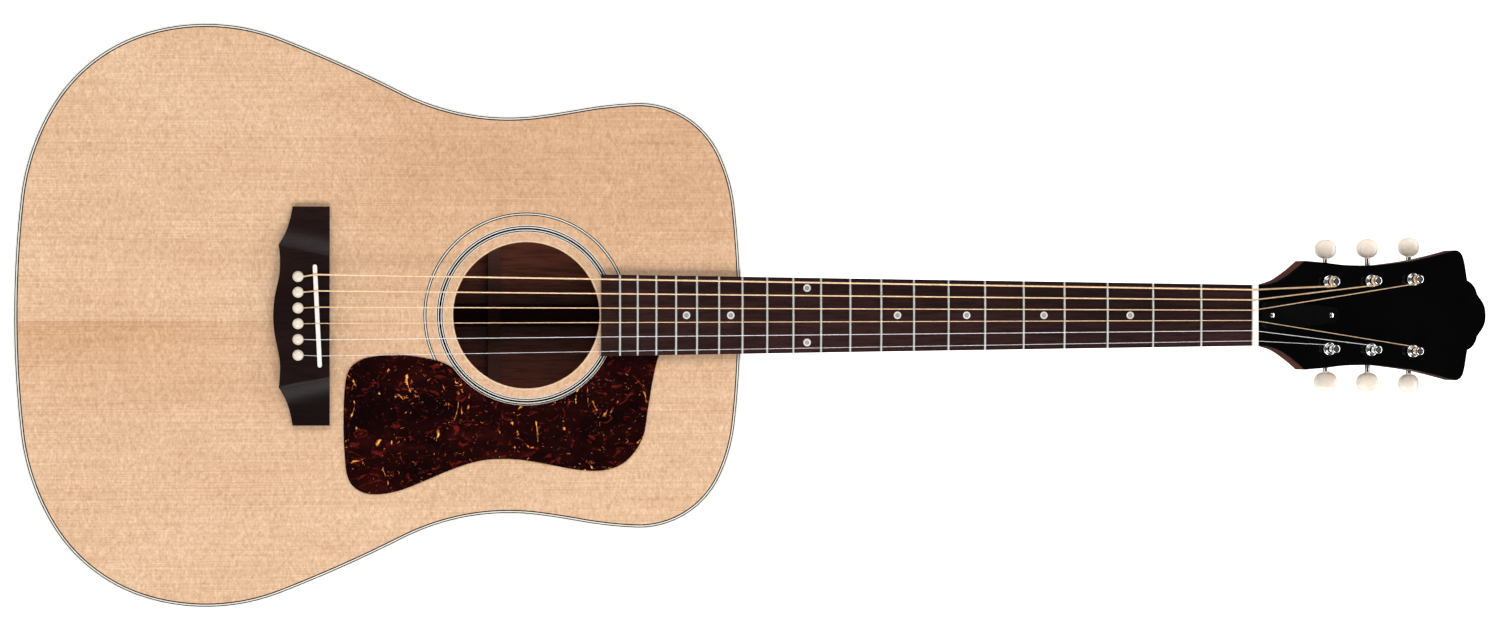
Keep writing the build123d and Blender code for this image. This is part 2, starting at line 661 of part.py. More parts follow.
# ---------------------------------------------------------------- pickguard
def build_guard():
    pts = [(-X, y) for X, y in GUARD_EDGE]
    hx = -HOLE_X
    r = 61.95
    x_end = GUARD_EDGE[-1][0]
    y_end = -(fb_half(x_end) + 0.3)
    pts[-1] = (-x_end, y_end)
    # where the rosette line meets the fingerboard's edge
    X = HOLE_X - 55.0
    for _ in range(30):
        y = fb_half(X) + 0.3
        X = HOLE_X - math.sqrt(r * r - y * y)
    pc = (-X, -(fb_half(X) + 0.3))
    a_start = math.atan2(-35.8, -(557.6 - HOLE_X))
    ps = (hx + r * math.cos(a_start), r * math.sin(a_start))
    pts[0] = ps
    a0 = math.atan2(ps[1], ps[0] - hx)
    a1 = math.atan2(pc[1], pc[0] - hx)
    am = (a0 + a1) / 2
    pm = (hx + r * math.cos(am), r * math.sin(am))
    f = make_face([Spline(*pts), Line(pts[-1], pc), ThreePointArc(pc, pm, ps)])
    g = extrude(f, GUARD_T, dir=(0, 0, 1))
    try:
        top = g.faces().sort_by(Axis.Z)[-1].edges()
        g2 = chamfer(top, 0.45)
        if g2.is_valid:
            g = g2
    except Exception:
        pass
    keep('pickguard', g)


# -------------------------------------------------------------- machine heads
def tuner_frame(st, side):
    """local frame: u to the tip, v outwards, w out of the face"""
    o = head_point(TUNER_S[st], side * TUNER_Y[st], 0)
    return Plane(origin=o, x_dir=HEAD.x_dir, z_dir=HEAD.z_dir)


def along_v(r, v0, v1, side, u=WORM_OFF, w=-WORM_DEPTH):
    return Pos(u, side * (v0 + v1) / 2, w) * Rot(90, 0, 0) * Cylinder(r, abs(v1 - v0))


def build_tuners(neck, veneer, screws):
    plates, bushes = [], []
    for i in range(6):
        st, side = STRING_POST[i]
        F = tuner_frame(st, side)
        n = i + 1
        # bushing: sleeve in the headstock with a round flange on the face
        sleeve = Pos(0, 0, -4.0) * Cylinder(4.0, 8.0)
        flange = Pos(0, 0, 0.6) * Cylinder(4.8, 1.2)
        flange = chamfer(flange.edges().sort_by(Axis.Z)[-1], 0.4)
        bush = sleeve + flange - Cylinder(BUSH_IN_R, 40)
        bushes.append(F * bush)
        bore = F * (Pos(0, 0, -8) * Cylinder(4.0, 20))
        neck = neck - bore
        veneer = veneer - bore
        # base plate with two ears that carry the worm shaft
        base = Pos(3.6, 0, -HEAD_T - 0.6) * Box(28.0, 13.0, 1.2)
        base = fillet(base.edges().filter_by(Axis.Z), 5.5)
        base = base - Cylinder(3.5, 60)
        for sg in (1, -1):
            ear = (Pos(WORM_OFF, sg * 4.9, -HEAD_T - 1.2 - 1.4) * Box(5.2, 1.4, 2.8)
                   + Pos(WORM_OFF, sg * 4.9, -WORM_DEPTH) * Rot(90, 0, 0) * Cylinder(2.6, 1.4))
            base = base + ear
        base = base - Pos(WORM_OFF, 0, -WORM_DEPTH) * Rot(90, 0, 0) * Cylinder(EAR_HOLE_R, 30)
        for u in (-7.2, 14.4):
            shank = Pos(u, 0, -HEAD_T - 1.2 + 4.0) * Cylinder(0.9, 8.0)
            headc = Pos(u, 0, -HEAD_T - 1.2 - 0.45) * Cylinder(1.9, 0.9)
            base = base - Pos(u, 0, -HEAD_T) * Cylinder(0.9, 6)
            screws.append(F * (shank + headc))
            neck = neck - F * shank
        plates.append(F * base)
        # worm on its shaft
        shaft = along_v(SHAFT_R, -6.2, 5.8, side)
        worm = along_v(WORM_R, -4.0, 4.0, side)
        for k in range(-2, 3):
            groove = (along_v(WORM_R + 1, k * 1.5 - 0.36, k * 1.5 + 0.36, side)
                      - along_v(1.55, -10, 10, side))
            worm = worm - groove
        outer = along_v(SHAFT_OUT_R, 5.8, 22.0, side)
        wbody = shaft + worm + outer
        keep('tuner_%d_worm' % n, F * wbody)
        # oval button
        turn = BUTTON_TURN[i]
        oval = extrude(Ellipse(8.4, 6.85), 7.2, dir=(0, 0, 1))
        oval = Pos(0, 0, -3.6) * oval
        oval = fillet(oval.edges(), 2.6)
        collar = Pos(0, -6.9, 0) * Rot(90, 0, 0) * Cylinder(2.7, 2.2)
        but = oval + collar
        if side < 0:
            but = Rot(0, 0, 180) * but
        but = (Pos(WORM_OFF, side * BUTTON_V, -WORM_DEPTH) * Rot(0, turn, 0) * but)
        but = but - along_v(SHAFT_OUT_R, 5.8, 22.0, side)
        keep('tuner_%d_button' % n, F * but)
        # post, gear, gear screw and the turns of string on the post
        prof = make_face(Polyline((0, 0, -19.2), (1.7, 0, -19.2), (1.7, 0, -16.8),
                                  (POST_R, 0, -16.8), (POST_R, 0, 5.0),
                                  (WAIST_R, 0, 5.4), (WAIST_R, 0, 8.5),
                                  (POST_R, 0, 8.9), (POST_R, 0, POST_TOP - 0.5),
                                  (POST_R - 0.5, 0, POST_TOP), (0, 0, POST_TOP),
                                  close=True))
        post = revolve(prof, axis=Axis.Z)
        post = post - Pos(0, 0, -17.7) * Cylinder(1.0, 5.0)
        post = post - Pos(0, 0, WIND_MID) * Rot(0, 90, 0) * Cylinder(0.75, 20)
        keep('tuner_%d_post' % n, F * post)
        gear = gear_solid()
        gscrew = (Pos(0, 0, -19.85) * Cylinder(2.6, 1.3)
                  + Pos(0, 0, -17.7 + 0.25) * Cylinder(1.0, 4.5))
        gscrew = gscrew - Pos(0, 0, -20.4) * Box(0.8, 6, 0.8)
        keep('tuner_%d_gear' % n, F * gear, F * gscrew)
        d = STRING_D[i]
        h = (2.9, 2.9, 2.4, 2.4, 2.0, 1.5)[i]
        wind = (Pos(0, 0, WIND_MID) * Cylinder(WAIST_R + d, h)
                - Pos(0, 0, WIND_MID) * Cylinder(WAIST_R, 10))
        keep('tuner_%d_winding' % n, F * wind)
    keep('tuner_baseplates', plates)
    keep('tuner_bushings', bushes)
    return neck, veneer, screws


def gear_solid():
    """14-tooth worm gear, simple straight-flanked teeth"""
    r0, r1 = GEAR_R - 1.2, GEAR_R
    pts = []
    pitch = 2 * math.pi / GEAR_TEETH
    for k in range(GEAR_TEETH):
        a = k * pitch
        for f, r in ((-0.36, r0), (-0.17, r1), (0.17, r1), (0.36, r0)):
            pts.append((r * math.cos(a + f * pitch), r * math.sin(a + f * pitch)))
    g = extrude(make_face(Polyline(*pts, close=True)), 2.4, dir=(0, 0, 1))
    g = Pos(0, 0, -19.2) * g
    return g - Pos(0, 0, -18) * Cylinder(1.7, 10)


# ------------------------------------------------------------------ assembly
def build():
    strings, cuts = build_strings()
    build_body(strings, cuts)
    neck, veneer, cap, screws = build_neck()
    nut = build_fingerboard()
    for c in cuts:
        nut = nut - c[1] - c[2]
    keep('nut', max(nut.solids(), key=lambda q: q.volume))
    build_bridge(cuts)
    build_guard()
    neck, veneer, screws = build_tuners(neck, veneer, screws)
    keep('neck', neck)
    keep('headstock_veneer', veneer)
    keep('heel_cap', cap)
    keep('small_screws', screws)
    keep('strings_wound', strings[:4])
    keep('strings_plain', strings[4:])


def main():
    os.makedirs("parts", exist_ok=True)
    for f in os.listdir("parts"):
        if f.endswith(".step"):
            os.remove(os.path.join("parts", f))
    build()
    for name, items in PARTS.items():
        moved = [TO_ROW * s for s in items]
        shape = moved[0] if len(moved) == 1 else Compound(children=moved)
        export_step(shape, os.path.join("parts", name + ".step"))
    print(len(PARTS), "nodes")


if __name__ == "__main__":
    main()
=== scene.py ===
import bmesh
import bpy
import math
import numpy as np
from mathutils import Matrix, Vector


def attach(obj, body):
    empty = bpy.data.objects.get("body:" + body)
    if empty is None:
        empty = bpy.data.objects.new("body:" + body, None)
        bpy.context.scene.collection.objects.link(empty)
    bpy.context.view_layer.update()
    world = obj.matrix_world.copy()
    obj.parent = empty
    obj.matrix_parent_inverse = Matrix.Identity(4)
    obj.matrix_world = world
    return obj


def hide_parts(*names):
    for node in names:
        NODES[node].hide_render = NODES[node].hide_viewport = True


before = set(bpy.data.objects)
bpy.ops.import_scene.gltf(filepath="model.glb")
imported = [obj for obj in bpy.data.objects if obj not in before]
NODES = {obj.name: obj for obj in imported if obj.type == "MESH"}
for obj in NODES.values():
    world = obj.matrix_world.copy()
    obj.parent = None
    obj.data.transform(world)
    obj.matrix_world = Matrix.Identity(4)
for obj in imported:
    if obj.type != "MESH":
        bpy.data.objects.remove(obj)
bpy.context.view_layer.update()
SCENE = bpy.context.scene

# ------------------------------------------------------------------ frames
# G: the instrument frame in millimetres, x = 0 at the nut and positive
# towards the headstock, y positive to the bass side, z = 0 on the soundboard.
BETA = math.radians(2.082565279730885)
CB, SB = math.cos(BETA), math.sin(BETA)
TILT = math.radians(14.0)
CT, ST = math.cos(TILT), math.sin(TILT)


def to_row(p):
    p = np.asarray(p, float).reshape(-1, 3)
    x = p[:, 0] * CB + p[:, 2] * SB + 610.5419238
    z = -p[:, 0] * SB + p[:, 2] * CB + 91.8738225
    return np.stack([x, p[:, 1], z], 1) * 1e-3


def head(p):
    """headstock face frame (along, across, out) to G"""
    p = np.asarray(p, float).reshape(-1, 3)
    return np.stack([p[:, 0] * CT + p[:, 2] * ST, p[:, 1],
                     4.1 - p[:, 0] * ST + p[:, 2] * CT], 1)


def back_z(x, h):
    """G height of the plane h over the flat back, at G position x"""
    return (h - 91.8738225 + x * SB) / CB


# ------------------------------------------------------------------ sizes
EDGE_W, BIND_H, BACK_BIND_H, SIDE_T = 3.3, 6.5, 6.0, 2.2
TAIL_X, HOLE_X, HOLE_R = 854.3, 507.7, 50.3
FB_T, FB_R, NUT_W, FB_END_X, FB_END_W = 6.4, 406.4, 42.9, 456.7, 56.0
SCALE_LEN = 648.0
BRIDGE_H, PIN_X, SADDLE_MID_X, SADDLE_TOP = 9.0, 663.0, 650.0, 12.0
TUNER_S = (62.7, 96.8, 130.9)
TUNER_Y = (23.8, 24.5, 25.7)
WORM_OFF, WORM_DEPTH = 7.5, 18.0
WAIST_R, POST_R, POST_TOP, WIND_MID = 2.5, 3.0, 10.4, 6.9
BUTTON_V = 23.45
BUTTON_TURN = (0.0, 0.0, 0.0, 4.0, -6.0, -24.0)
STRING_D = (1.35, 1.07, 0.81, 0.61, 0.41, 0.30)
STRING_NUT_Y = tuple(17.925 - 7.17 * i for i in range(6))
STRING_SADDLE_Y = tuple(27.65 - 11.06 * i for i in range(6))
PIN_Y = tuple(-0.4 + 2.5 * 10.68 - 10.68 * i for i in range(6))
STRING_POST = ((0, 1), (1, 1), (2, 1), (2, -1), (1, -1), (0, -1))
OUTLINE = [(710.6, 6.40), (154.1, 24.62), (110.1, 41.99), (134.6, 37.97),
           (916.2, 5.62), (-162.3, 34.50), (-609.9, 2.73), (267.1, 8.07),
           (59.1, 67.20), (114.6, 19.14)]


def fret_x(n):
    return SCALE_LEN * (1 - 2 ** (-n / 12))


def fb_half(x):
    return (NUT_W + (FB_END_W - NUT_W) * x / FB_END_X) / 2


def fb_top(y):
    return FB_T - FB_R + math.sqrt(FB_R ** 2 - y * y)


def saddle_top(y):
    return SADDLE_TOP - 450.0 + math.sqrt(450.0 ** 2 - y * y)


def outline(off, step=2.5):
    """closed body outline offset outwards, as (N, 2); the same index means
    the same station for every offset. Also returns the half count."""
    x, y, h = -TAIL_X + EDGE_W, 0.0, 90.0
    pts = []

    def arc(x, y, h, r, ang, last=False):
        hr = math.radians(h)
        cx, cy = x + r * math.sin(hr), y - r * math.cos(hr)
        if r > 0:
            a0, a1, rr, h1 = h + 90, h + 90 - ang, r + off, h - ang
        else:
            a0, a1, rr, h1 = h - 90, h - 90 + ang, -r - off, h + ang
        n = max(3, int(math.ceil(abs(r) * math.radians(ang) / step)))
        for k in range(n + (1 if last else 0)):
            a = math.radians(a0 + (a1 - a0) * k / n)
            pts.append((cx + rr * math.cos(a), cy + rr * math.sin(a)))
        a = math.radians(a1)
        return cx + abs(r) * math.cos(a), cy + abs(r) * math.sin(a), h1

    for r, ang in OUTLINE:
        x, y, h = arc(x, y, h, r, ang)
    r_last = y / math.cos(math.radians(h))
    arc(x, y, h, r_last, h + 90, last=True)
    up = np.array(pts)
    up[0, 1] = 0.0
    up[-1, 1] = 0.0
    dn = up[1:-1][::-1] * np.array([1, -1])
    return np.vstack([up, dn]), len(up)


# ------------------------------------------------------------- materials
MATS = {}


class Nodes:
    def __init__(self, name):
        self.m = bpy.data.materials.new(name)
        self.m.use_nodes = True
        self.t = self.m.node_tree
        self.t.nodes.clear()
        self.out = self.t.nodes.new("ShaderNodeOutputMaterial")
        self.b = self.t.nodes.new("ShaderNodeBsdfPrincipled")
        self.t.links.new(self.b.outputs[0], self.out.inputs[0])
        self.tc = self.t.nodes.new("ShaderNodeTexCoord")
        MATS[name] = self.m

    def link(self, a, b):
        self.t.links.new(a, b)

    def set(self, **kw):
        for k, v in kw.items():
            s = self.b.inputs[k.replace("_", " ")]
            s.default_value = v

    def map(self, scale, src=None, rot=(0, 0, 0), loc=(0, 0, 0)):
        n = self.t.nodes.new("ShaderNodeMapping")
        n.inputs["Scale"].default_value = scale
        n.inputs["Rotation"].default_value = rot
        n.inputs["Location"].default_value = loc
        self.link(src or self.tc.outputs["Object"], n.inputs["Vector"])
        return n.outputs[0]

    def noise(self, vec, scale=1.0, detail=3.0, rough=0.55, dist=0.0):
        n = self.t.nodes.new("ShaderNodeTexNoise")
        n.inputs["Scale"].default_value = scale
        n.inputs["Detail"].default_value = detail
        n.inputs["Roughness"].default_value = rough
        n.inputs["Distortion"].default_value = dist
        self.link(vec, n.inputs["Vector"])
        return n.outputs[0]

    def voronoi(self, vec, scale, rand=1.0, feature="F1"):
        n = self.t.nodes.new("ShaderNodeTexVoronoi")
        n.feature = feature
        n.inputs["Scale"].default_value = scale
        n.inputs["Randomness"].default_value = rand
        self.link(vec, n.inputs["Vector"])
        return n.outputs[0]

    def ramp(self, fac, stops, interp="LINEAR"):
        n = self.t.nodes.new("ShaderNodeValToRGB")
        n.color_ramp.interpolation = interp
        e = n.color_ramp.elements
        while len(e) < len(stops):
            e.new(0.5)
        for k, (p, c) in enumerate(stops):
            e[k].position = p
            if not isinstance(c, (tuple, list)):
                c = (c, c, c)
            e[k].color = (c[0], c[1], c[2], 1.0)
        self.link(fac, n.inputs[0])
        return n.outputs[0]

    def mix(self, fac, a, b, mode="MIX"):
        n = self.t.nodes.new("ShaderNodeMix")
        n.data_type = "RGBA"
        n.blend_type = mode
        n.clamp_factor = True
        for sock, v in ((n.inputs[0], fac), (n.inputs[6], a), (n.inputs[7], b)):
            if isinstance(v, bpy.types.NodeSocket):
                self.link(v, sock)
            elif isinstance(v, (tuple, list)):
                sock.default_value = (v[0], v[1], v[2], 1.0)
            else:
                sock.default_value = v
        return n.outputs[2]

    def math(self, op, a, b=0.0, c=0.0):
        n = self.t.nodes.new("ShaderNodeMath")
        n.operation = op
        for sock, v in zip(n.inputs, (a, b, c)):
            if isinstance(v, bpy.types.NodeSocket):
                self.link(v, sock)
            else:
                sock.default_value = v
        return n.outputs[0]

    def color(self, s):
        self.link(s, self.b.inputs["Base Color"])

    def rough(self, fac, lo, hi):
        n = self.t.nodes.new("ShaderNodeMapRange")
        n.inputs["To Min"].default_value = lo
        n.inputs["To Max"].default_value = hi
        self.link(fac, n.inputs["Value"])
        self.link(n.outputs[0], self.b.inputs["Roughness"])

    def bump(self, height, strength, dist):
        n = self.t.nodes.new("ShaderNodeBump")
        n.inputs["Strength"].default_value = strength
        n.inputs["Distance"].default_value = dist
        self.link(height, n.inputs["Height"])
        self.link(n.outputs[0], self.b.inputs["Normal"])


def mat_spruce():
    n = Nodes("spruce")
    sep = n.t.nodes.new("ShaderNodeSeparateXYZ")
    n.link(n.tc.outputs["Object"], sep.inputs[0])
    off = n.math("ADD", sep.outputs[1], 0.0040)
    ay = n.math("ABSOLUTE", off)
    com = n.t.nodes.new("ShaderNodeCombineXYZ")
    n.link(sep.outputs[0], com.inputs[0])
    n.link(ay, com.inputs[1])
    n.link(sep.outputs[2], com.inputs[2])
    v = com.outputs[0]
    fine = n.noise(n.map((7, 1250, 2), v), 1.0, 2.0, 0.6)
    lines = n.noise(n.map((13, 640, 1), v, loc=(3, 0, 0)), 1.0, 2.0, 0.55)
    band = n.noise(n.map((2.2, 30, 1), v, loc=(7, 2, 0)), 1.0, 3.0, 0.5)
    mott = n.noise(n.map((520, 330, 1), v, rot=(0, 0, 0.5)), 1.0, 3.0, 0.65, 0.8)
    silk = n.noise(n.map((120, 60, 1), v, rot=(0, 0, -0.35)), 1.0, 4.0, 0.7, 1.6)
    broad = n.noise(n.map((7, 16, 1), v, loc=(2, 9, 0)), 1.0, 3.0, 0.6, 0.5)
    c = n.ramp(fine, [(0.30, (0.715, 0.462, 0.286)), (0.68, (0.818, 0.574, 0.388))])
    c = n.mix(1.0, c, n.ramp(lines, [(0.25, (0.86, 0.79, 0.71)), (0.36, 1.0)]), "MULTIPLY")
    c = n.mix(1.0, c, n.ramp(band, [(0.3, (0.975, 0.965, 0.955)), (0.7, (1.01, 1.01, 1.015))]), "MULTIPLY")
    c = n.mix(1.0, c, n.ramp(mott, [(0.30, (0.800, 0.735, 0.670)), (0.72, (1.125, 1.165, 1.215))]), "MULTIPLY")
    c = n.mix(1.0, c, n.ramp(silk, [(0.3, (0.915, 0.885, 0.855)), (0.72, (1.055, 1.075, 1.095))]), "MULTIPLY")
    c = n.mix(1.0, c, n.ramp(broad, [(0.3, (0.935, 0.900, 0.865)), (0.7, (1.02, 1.03, 1.04))]), "MULTIPLY")
    # the treble half of the plate is a little darker near its centre joint
    treble = n.ramp(n.math("MULTIPLY_ADD", off, -2500.0, 0.5), [(0.0, 0.0), (1.0, 1.0)])
    near = n.ramp(n.math("MULTIPLY", ay, 14.0), [(0.0, 1.0), (1.0, 0.0)])
    tail = n.ramp(n.math("MULTIPLY_ADD", sep.outputs[0], -5.0, 0.1), [(0.0, 0.25), (1.0, 1.0)])
    f = n.math("MULTIPLY", n.math("MULTIPLY", treble, near), tail)
    c = n.mix(f, c, n.mix(1.0, c, (0.88, 0.79, 0.71), "MULTIPLY"))
    # warmer towards the tail; darker over the bass side towards the neck end, a painted shadow of the fingerboard
    end = n.ramp(n.math("MULTIPLY_ADD", sep.outputs[0], -7.0, -2.0), [(0.0, 0.0), (1.0, 1.0)])
    c = n.mix(end, c, n.mix(1.0, c, (0.93, 0.88, 0.83), "MULTIPLY"))
    # painted shadow: broad darkening of the bass side towards the neck end, beside the fingerboard
    fingerboard_shadow = n.math("MULTIPLY", n.ramp(n.math("MULTIPLY_ADD", sep.outputs[0], 12.0, 0.7), [(0.0, 0.0), (1.0, 1.0)]),
                  n.ramp(n.math("MULTIPLY_ADD", sep.outputs[1], 14.0, -0.1), [(0.0, 0.0), (1.0, 1.0)]))
    c = n.mix(fingerboard_shadow, c, n.mix(1.0, c, (0.90, 0.84, 0.79), "MULTIPLY"))
    seam = n.ramp(n.math("MULTIPLY", ay, 1500.0), [(0.0, 0.80), (0.55, 1.0)])
    c = n.mix(1.0, c, seam, "MULTIPLY")
    n.color(c)
    n.rough(silk, 0.30, 0.40)
    n.set(Coat_Weight=0.35, Coat_Roughness=0.08, Specular_IOR_Level=0.35)
    n.bump(fine, 0.06, 0.0002)


def mat_wood(name, dark, light, scale_y=260.0, along=3.0, rough=(0.3, 0.45),
             coat=0.3, pores=0.5, uv=False, spec=0.4, coat_rough=0.1, bare=None):
    n = Nodes(name)
    src = n.tc.outputs["UV"] if uv else n.tc.outputs["Object"]
    big = n.noise(n.map((along * 0.7, scale_y * 0.10, scale_y * 0.10), src), 1.0, 3.0, 0.55, 0.7)
    mid = n.noise(n.map((along, scale_y * 0.45, scale_y * 0.45), src, loc=(5, 1, 2)), 1.0, 3.0, 0.6, 0.4)
    fine = n.noise(n.map((along * 9, scale_y * 3.2, scale_y * 3.2), src, loc=(1, 7, 3)), 1.0, 2.0, 0.7)
    c = n.mix(n.ramp(big, [(0.30, 0.0), (0.70, 1.0)]), dark, light)
    if bare:
        # the plate's inner face is unfinished and paler
        sep = n.t.nodes.new("ShaderNodeSeparateXYZ")
        n.link(n.tc.outputs["Object"], sep.inputs[0])
        inner = n.ramp(n.math("MULTIPLY_ADD", sep.outputs[2], 1000.0, -2.0), [(0.0, 0.0), (0.5, 1.0)])
        c = n.mix(inner, c, bare)
    c = n.mix(1.0, c, n.ramp(mid, [(0.34, 0.80), (0.64, 1.10)]), "MULTIPLY")
    c = n.mix(1.0, c, n.ramp(fine, [(0.40, 1.0 - 0.55 * pores), (0.52, 1.0), (0.8, 1.06)]), "MULTIPLY")
    n.color(c)
    n.rough(fine, rough[1], rough[0])
    n.set(Coat_Weight=coat, Coat_Roughness=coat_rough, Specular_IOR_Level=spec)
    n.bump(fine, 0.10 * pores + 0.02, 0.0002)


def mat_plain(name, a, b, scale, rough, coat=0.0, metallic=0.0, spec=0.5,
              stretch=(1, 1, 1), detail=3.0, dist=0.6, bump=0.0, coat_rough=0.06,
              stops=(0.35, 0.68)):
    n = Nodes(name)
    s = n.noise(n.map(tuple(scale * q for q in stretch)), 1.0, detail, 0.6, dist)
    w = n.noise(n.map((scale * 6.3,) * 3, loc=(2, 5, 1)), 1.0, 3.0, 0.65)
    c = n.ramp(s, [(stops[0], a), (stops[1], b)])
    c = n.mix(1.0, c, n.ramp(w, [(0.3, 0.965), (0.7, 1.025)]), "MULTIPLY")
    n.color(c)
    n.rough(w, rough[0], rough[1])
    n.set(Coat_Weight=coat, Coat_Roughness=coat_rough, Metallic=metallic,
          Specular_IOR_Level=spec)
    if bump:
        n.bump(w, bump, 0.0001)


def mat_tortoise():
    n = Nodes("tortoise")
    base = n.noise(n.map((24, 30, 24)), 1.0, 4.0, 0.6, 1.6)
    c = n.ramp(base, [(0.34, (0.0040, 0.0007, 0.0009)), (0.56, (0.0120, 0.0014, 0.0014)),
                      (0.74, (0.0320, 0.0032, 0.0026))])
    wisp = n.noise(n.map((62, 88, 60), loc=(3, 1, 0)), 1.0, 6.0, 0.62, 2.8)
    c = n.mix(n.ramp(wisp, [(0.575, 0.0), (0.62, 0.5), (0.68, 1.0)]), c, (0.120, 0.010, 0.006))
    fl = n.noise(n.map((165, 240, 160), loc=(9, 4, 0)), 1.0, 5.0, 0.62, 2.0)
    c = n.mix(n.ramp(fl, [(0.650, 0.0), (0.70, 0.9)]), c, (0.66, 0.170, 0.080))
    amber = n.noise(n.map((62, 40, 40), loc=(4, 8, 0)), 1.0, 5.0, 0.60, 2.6)
    c = n.mix(n.ramp(amber, [(0.632, 0.0), (0.655, 0.8), (0.68, 1.0)]), c, (0.80, 0.250, 0.045))
    c = n.mix(n.ramp(amber, [(0.668, 0.0), (0.692, 0.9)]), c, (1.0, 0.62, 0.20))
    n.color(c)
    n.rough(base, 0.10, 0.18)
    n.set(Coat_Weight=0.08, Coat_Roughness=0.05, Specular_IOR_Level=0.14)


def mat_pearl():
    n = Nodes("pearl")
    v = n.noise(n.map((420, 420, 420)), 1.0, 4.0, 0.6, 2.5)
    c = n.ramp(v, [(0.3, (0.25, 0.24, 0.25)), (0.5, (0.36, 0.34, 0.35)), (0.7, (0.50, 0.50, 0.47))])
    n.color(c)
    n.rough(v, 0.18, 0.3)
    n.set(Coat_Weight=0.4, Coat_Roughness=0.05)


def mat_fret():
    # a polished crown, coloured near white as a painted highlight; the flanks get a near-black colour, a painted
    # reflection of dark surroundings
    n = Nodes("nickel_silver")
    sep = n.t.nodes.new("ShaderNodeSeparateXYZ")
    n.link(n.tc.outputs["Normal"], sep.inputs[0])
    v = n.noise(n.map((700, 48, 120)), 1.0, 3.0, 0.6, 0.6)
    # painted highlight: the colour of the up-facing crown
    top = n.ramp(v, [(0.35, (0.93, 0.92, 0.90)), (0.68, (1.0, 0.995, 0.98))])
    # painted shade and reflection: the same metal, near black on the flanks
    side = n.ramp(v, [(0.35, (0.045, 0.036, 0.034)), (0.68, (0.085, 0.070, 0.066))])
    c = n.mix(n.ramp(sep.outputs[2], [(0.84, 0.0), (0.93, 1.0)]), side, top)
    n.color(c)
    n.rough(v, 0.24, 0.34)
    n.set(Metallic=0.55)


def mat_wound():
    n = Nodes("bronze_wound")
    v = n.noise(n.map((500, 500, 500)), 1.0, 3.0, 0.6)
    l = n.noise(n.map((9, 40, 40), loc=(3, 3, 3)), 1.0, 2.0, 0.5)
    c = n.ramp(v, [(0.3, (0.86, 0.52, 0.27)), (0.7, (1.0, 0.76, 0.50))])
    c = n.mix(1.0, c, n.ramp(l, [(0.3, 0.90), (0.7, 1.05)]), "MULTIPLY")
    n.color(c)
    n.rough(v, 0.28, 0.38)
    n.set(Metallic=0.6)


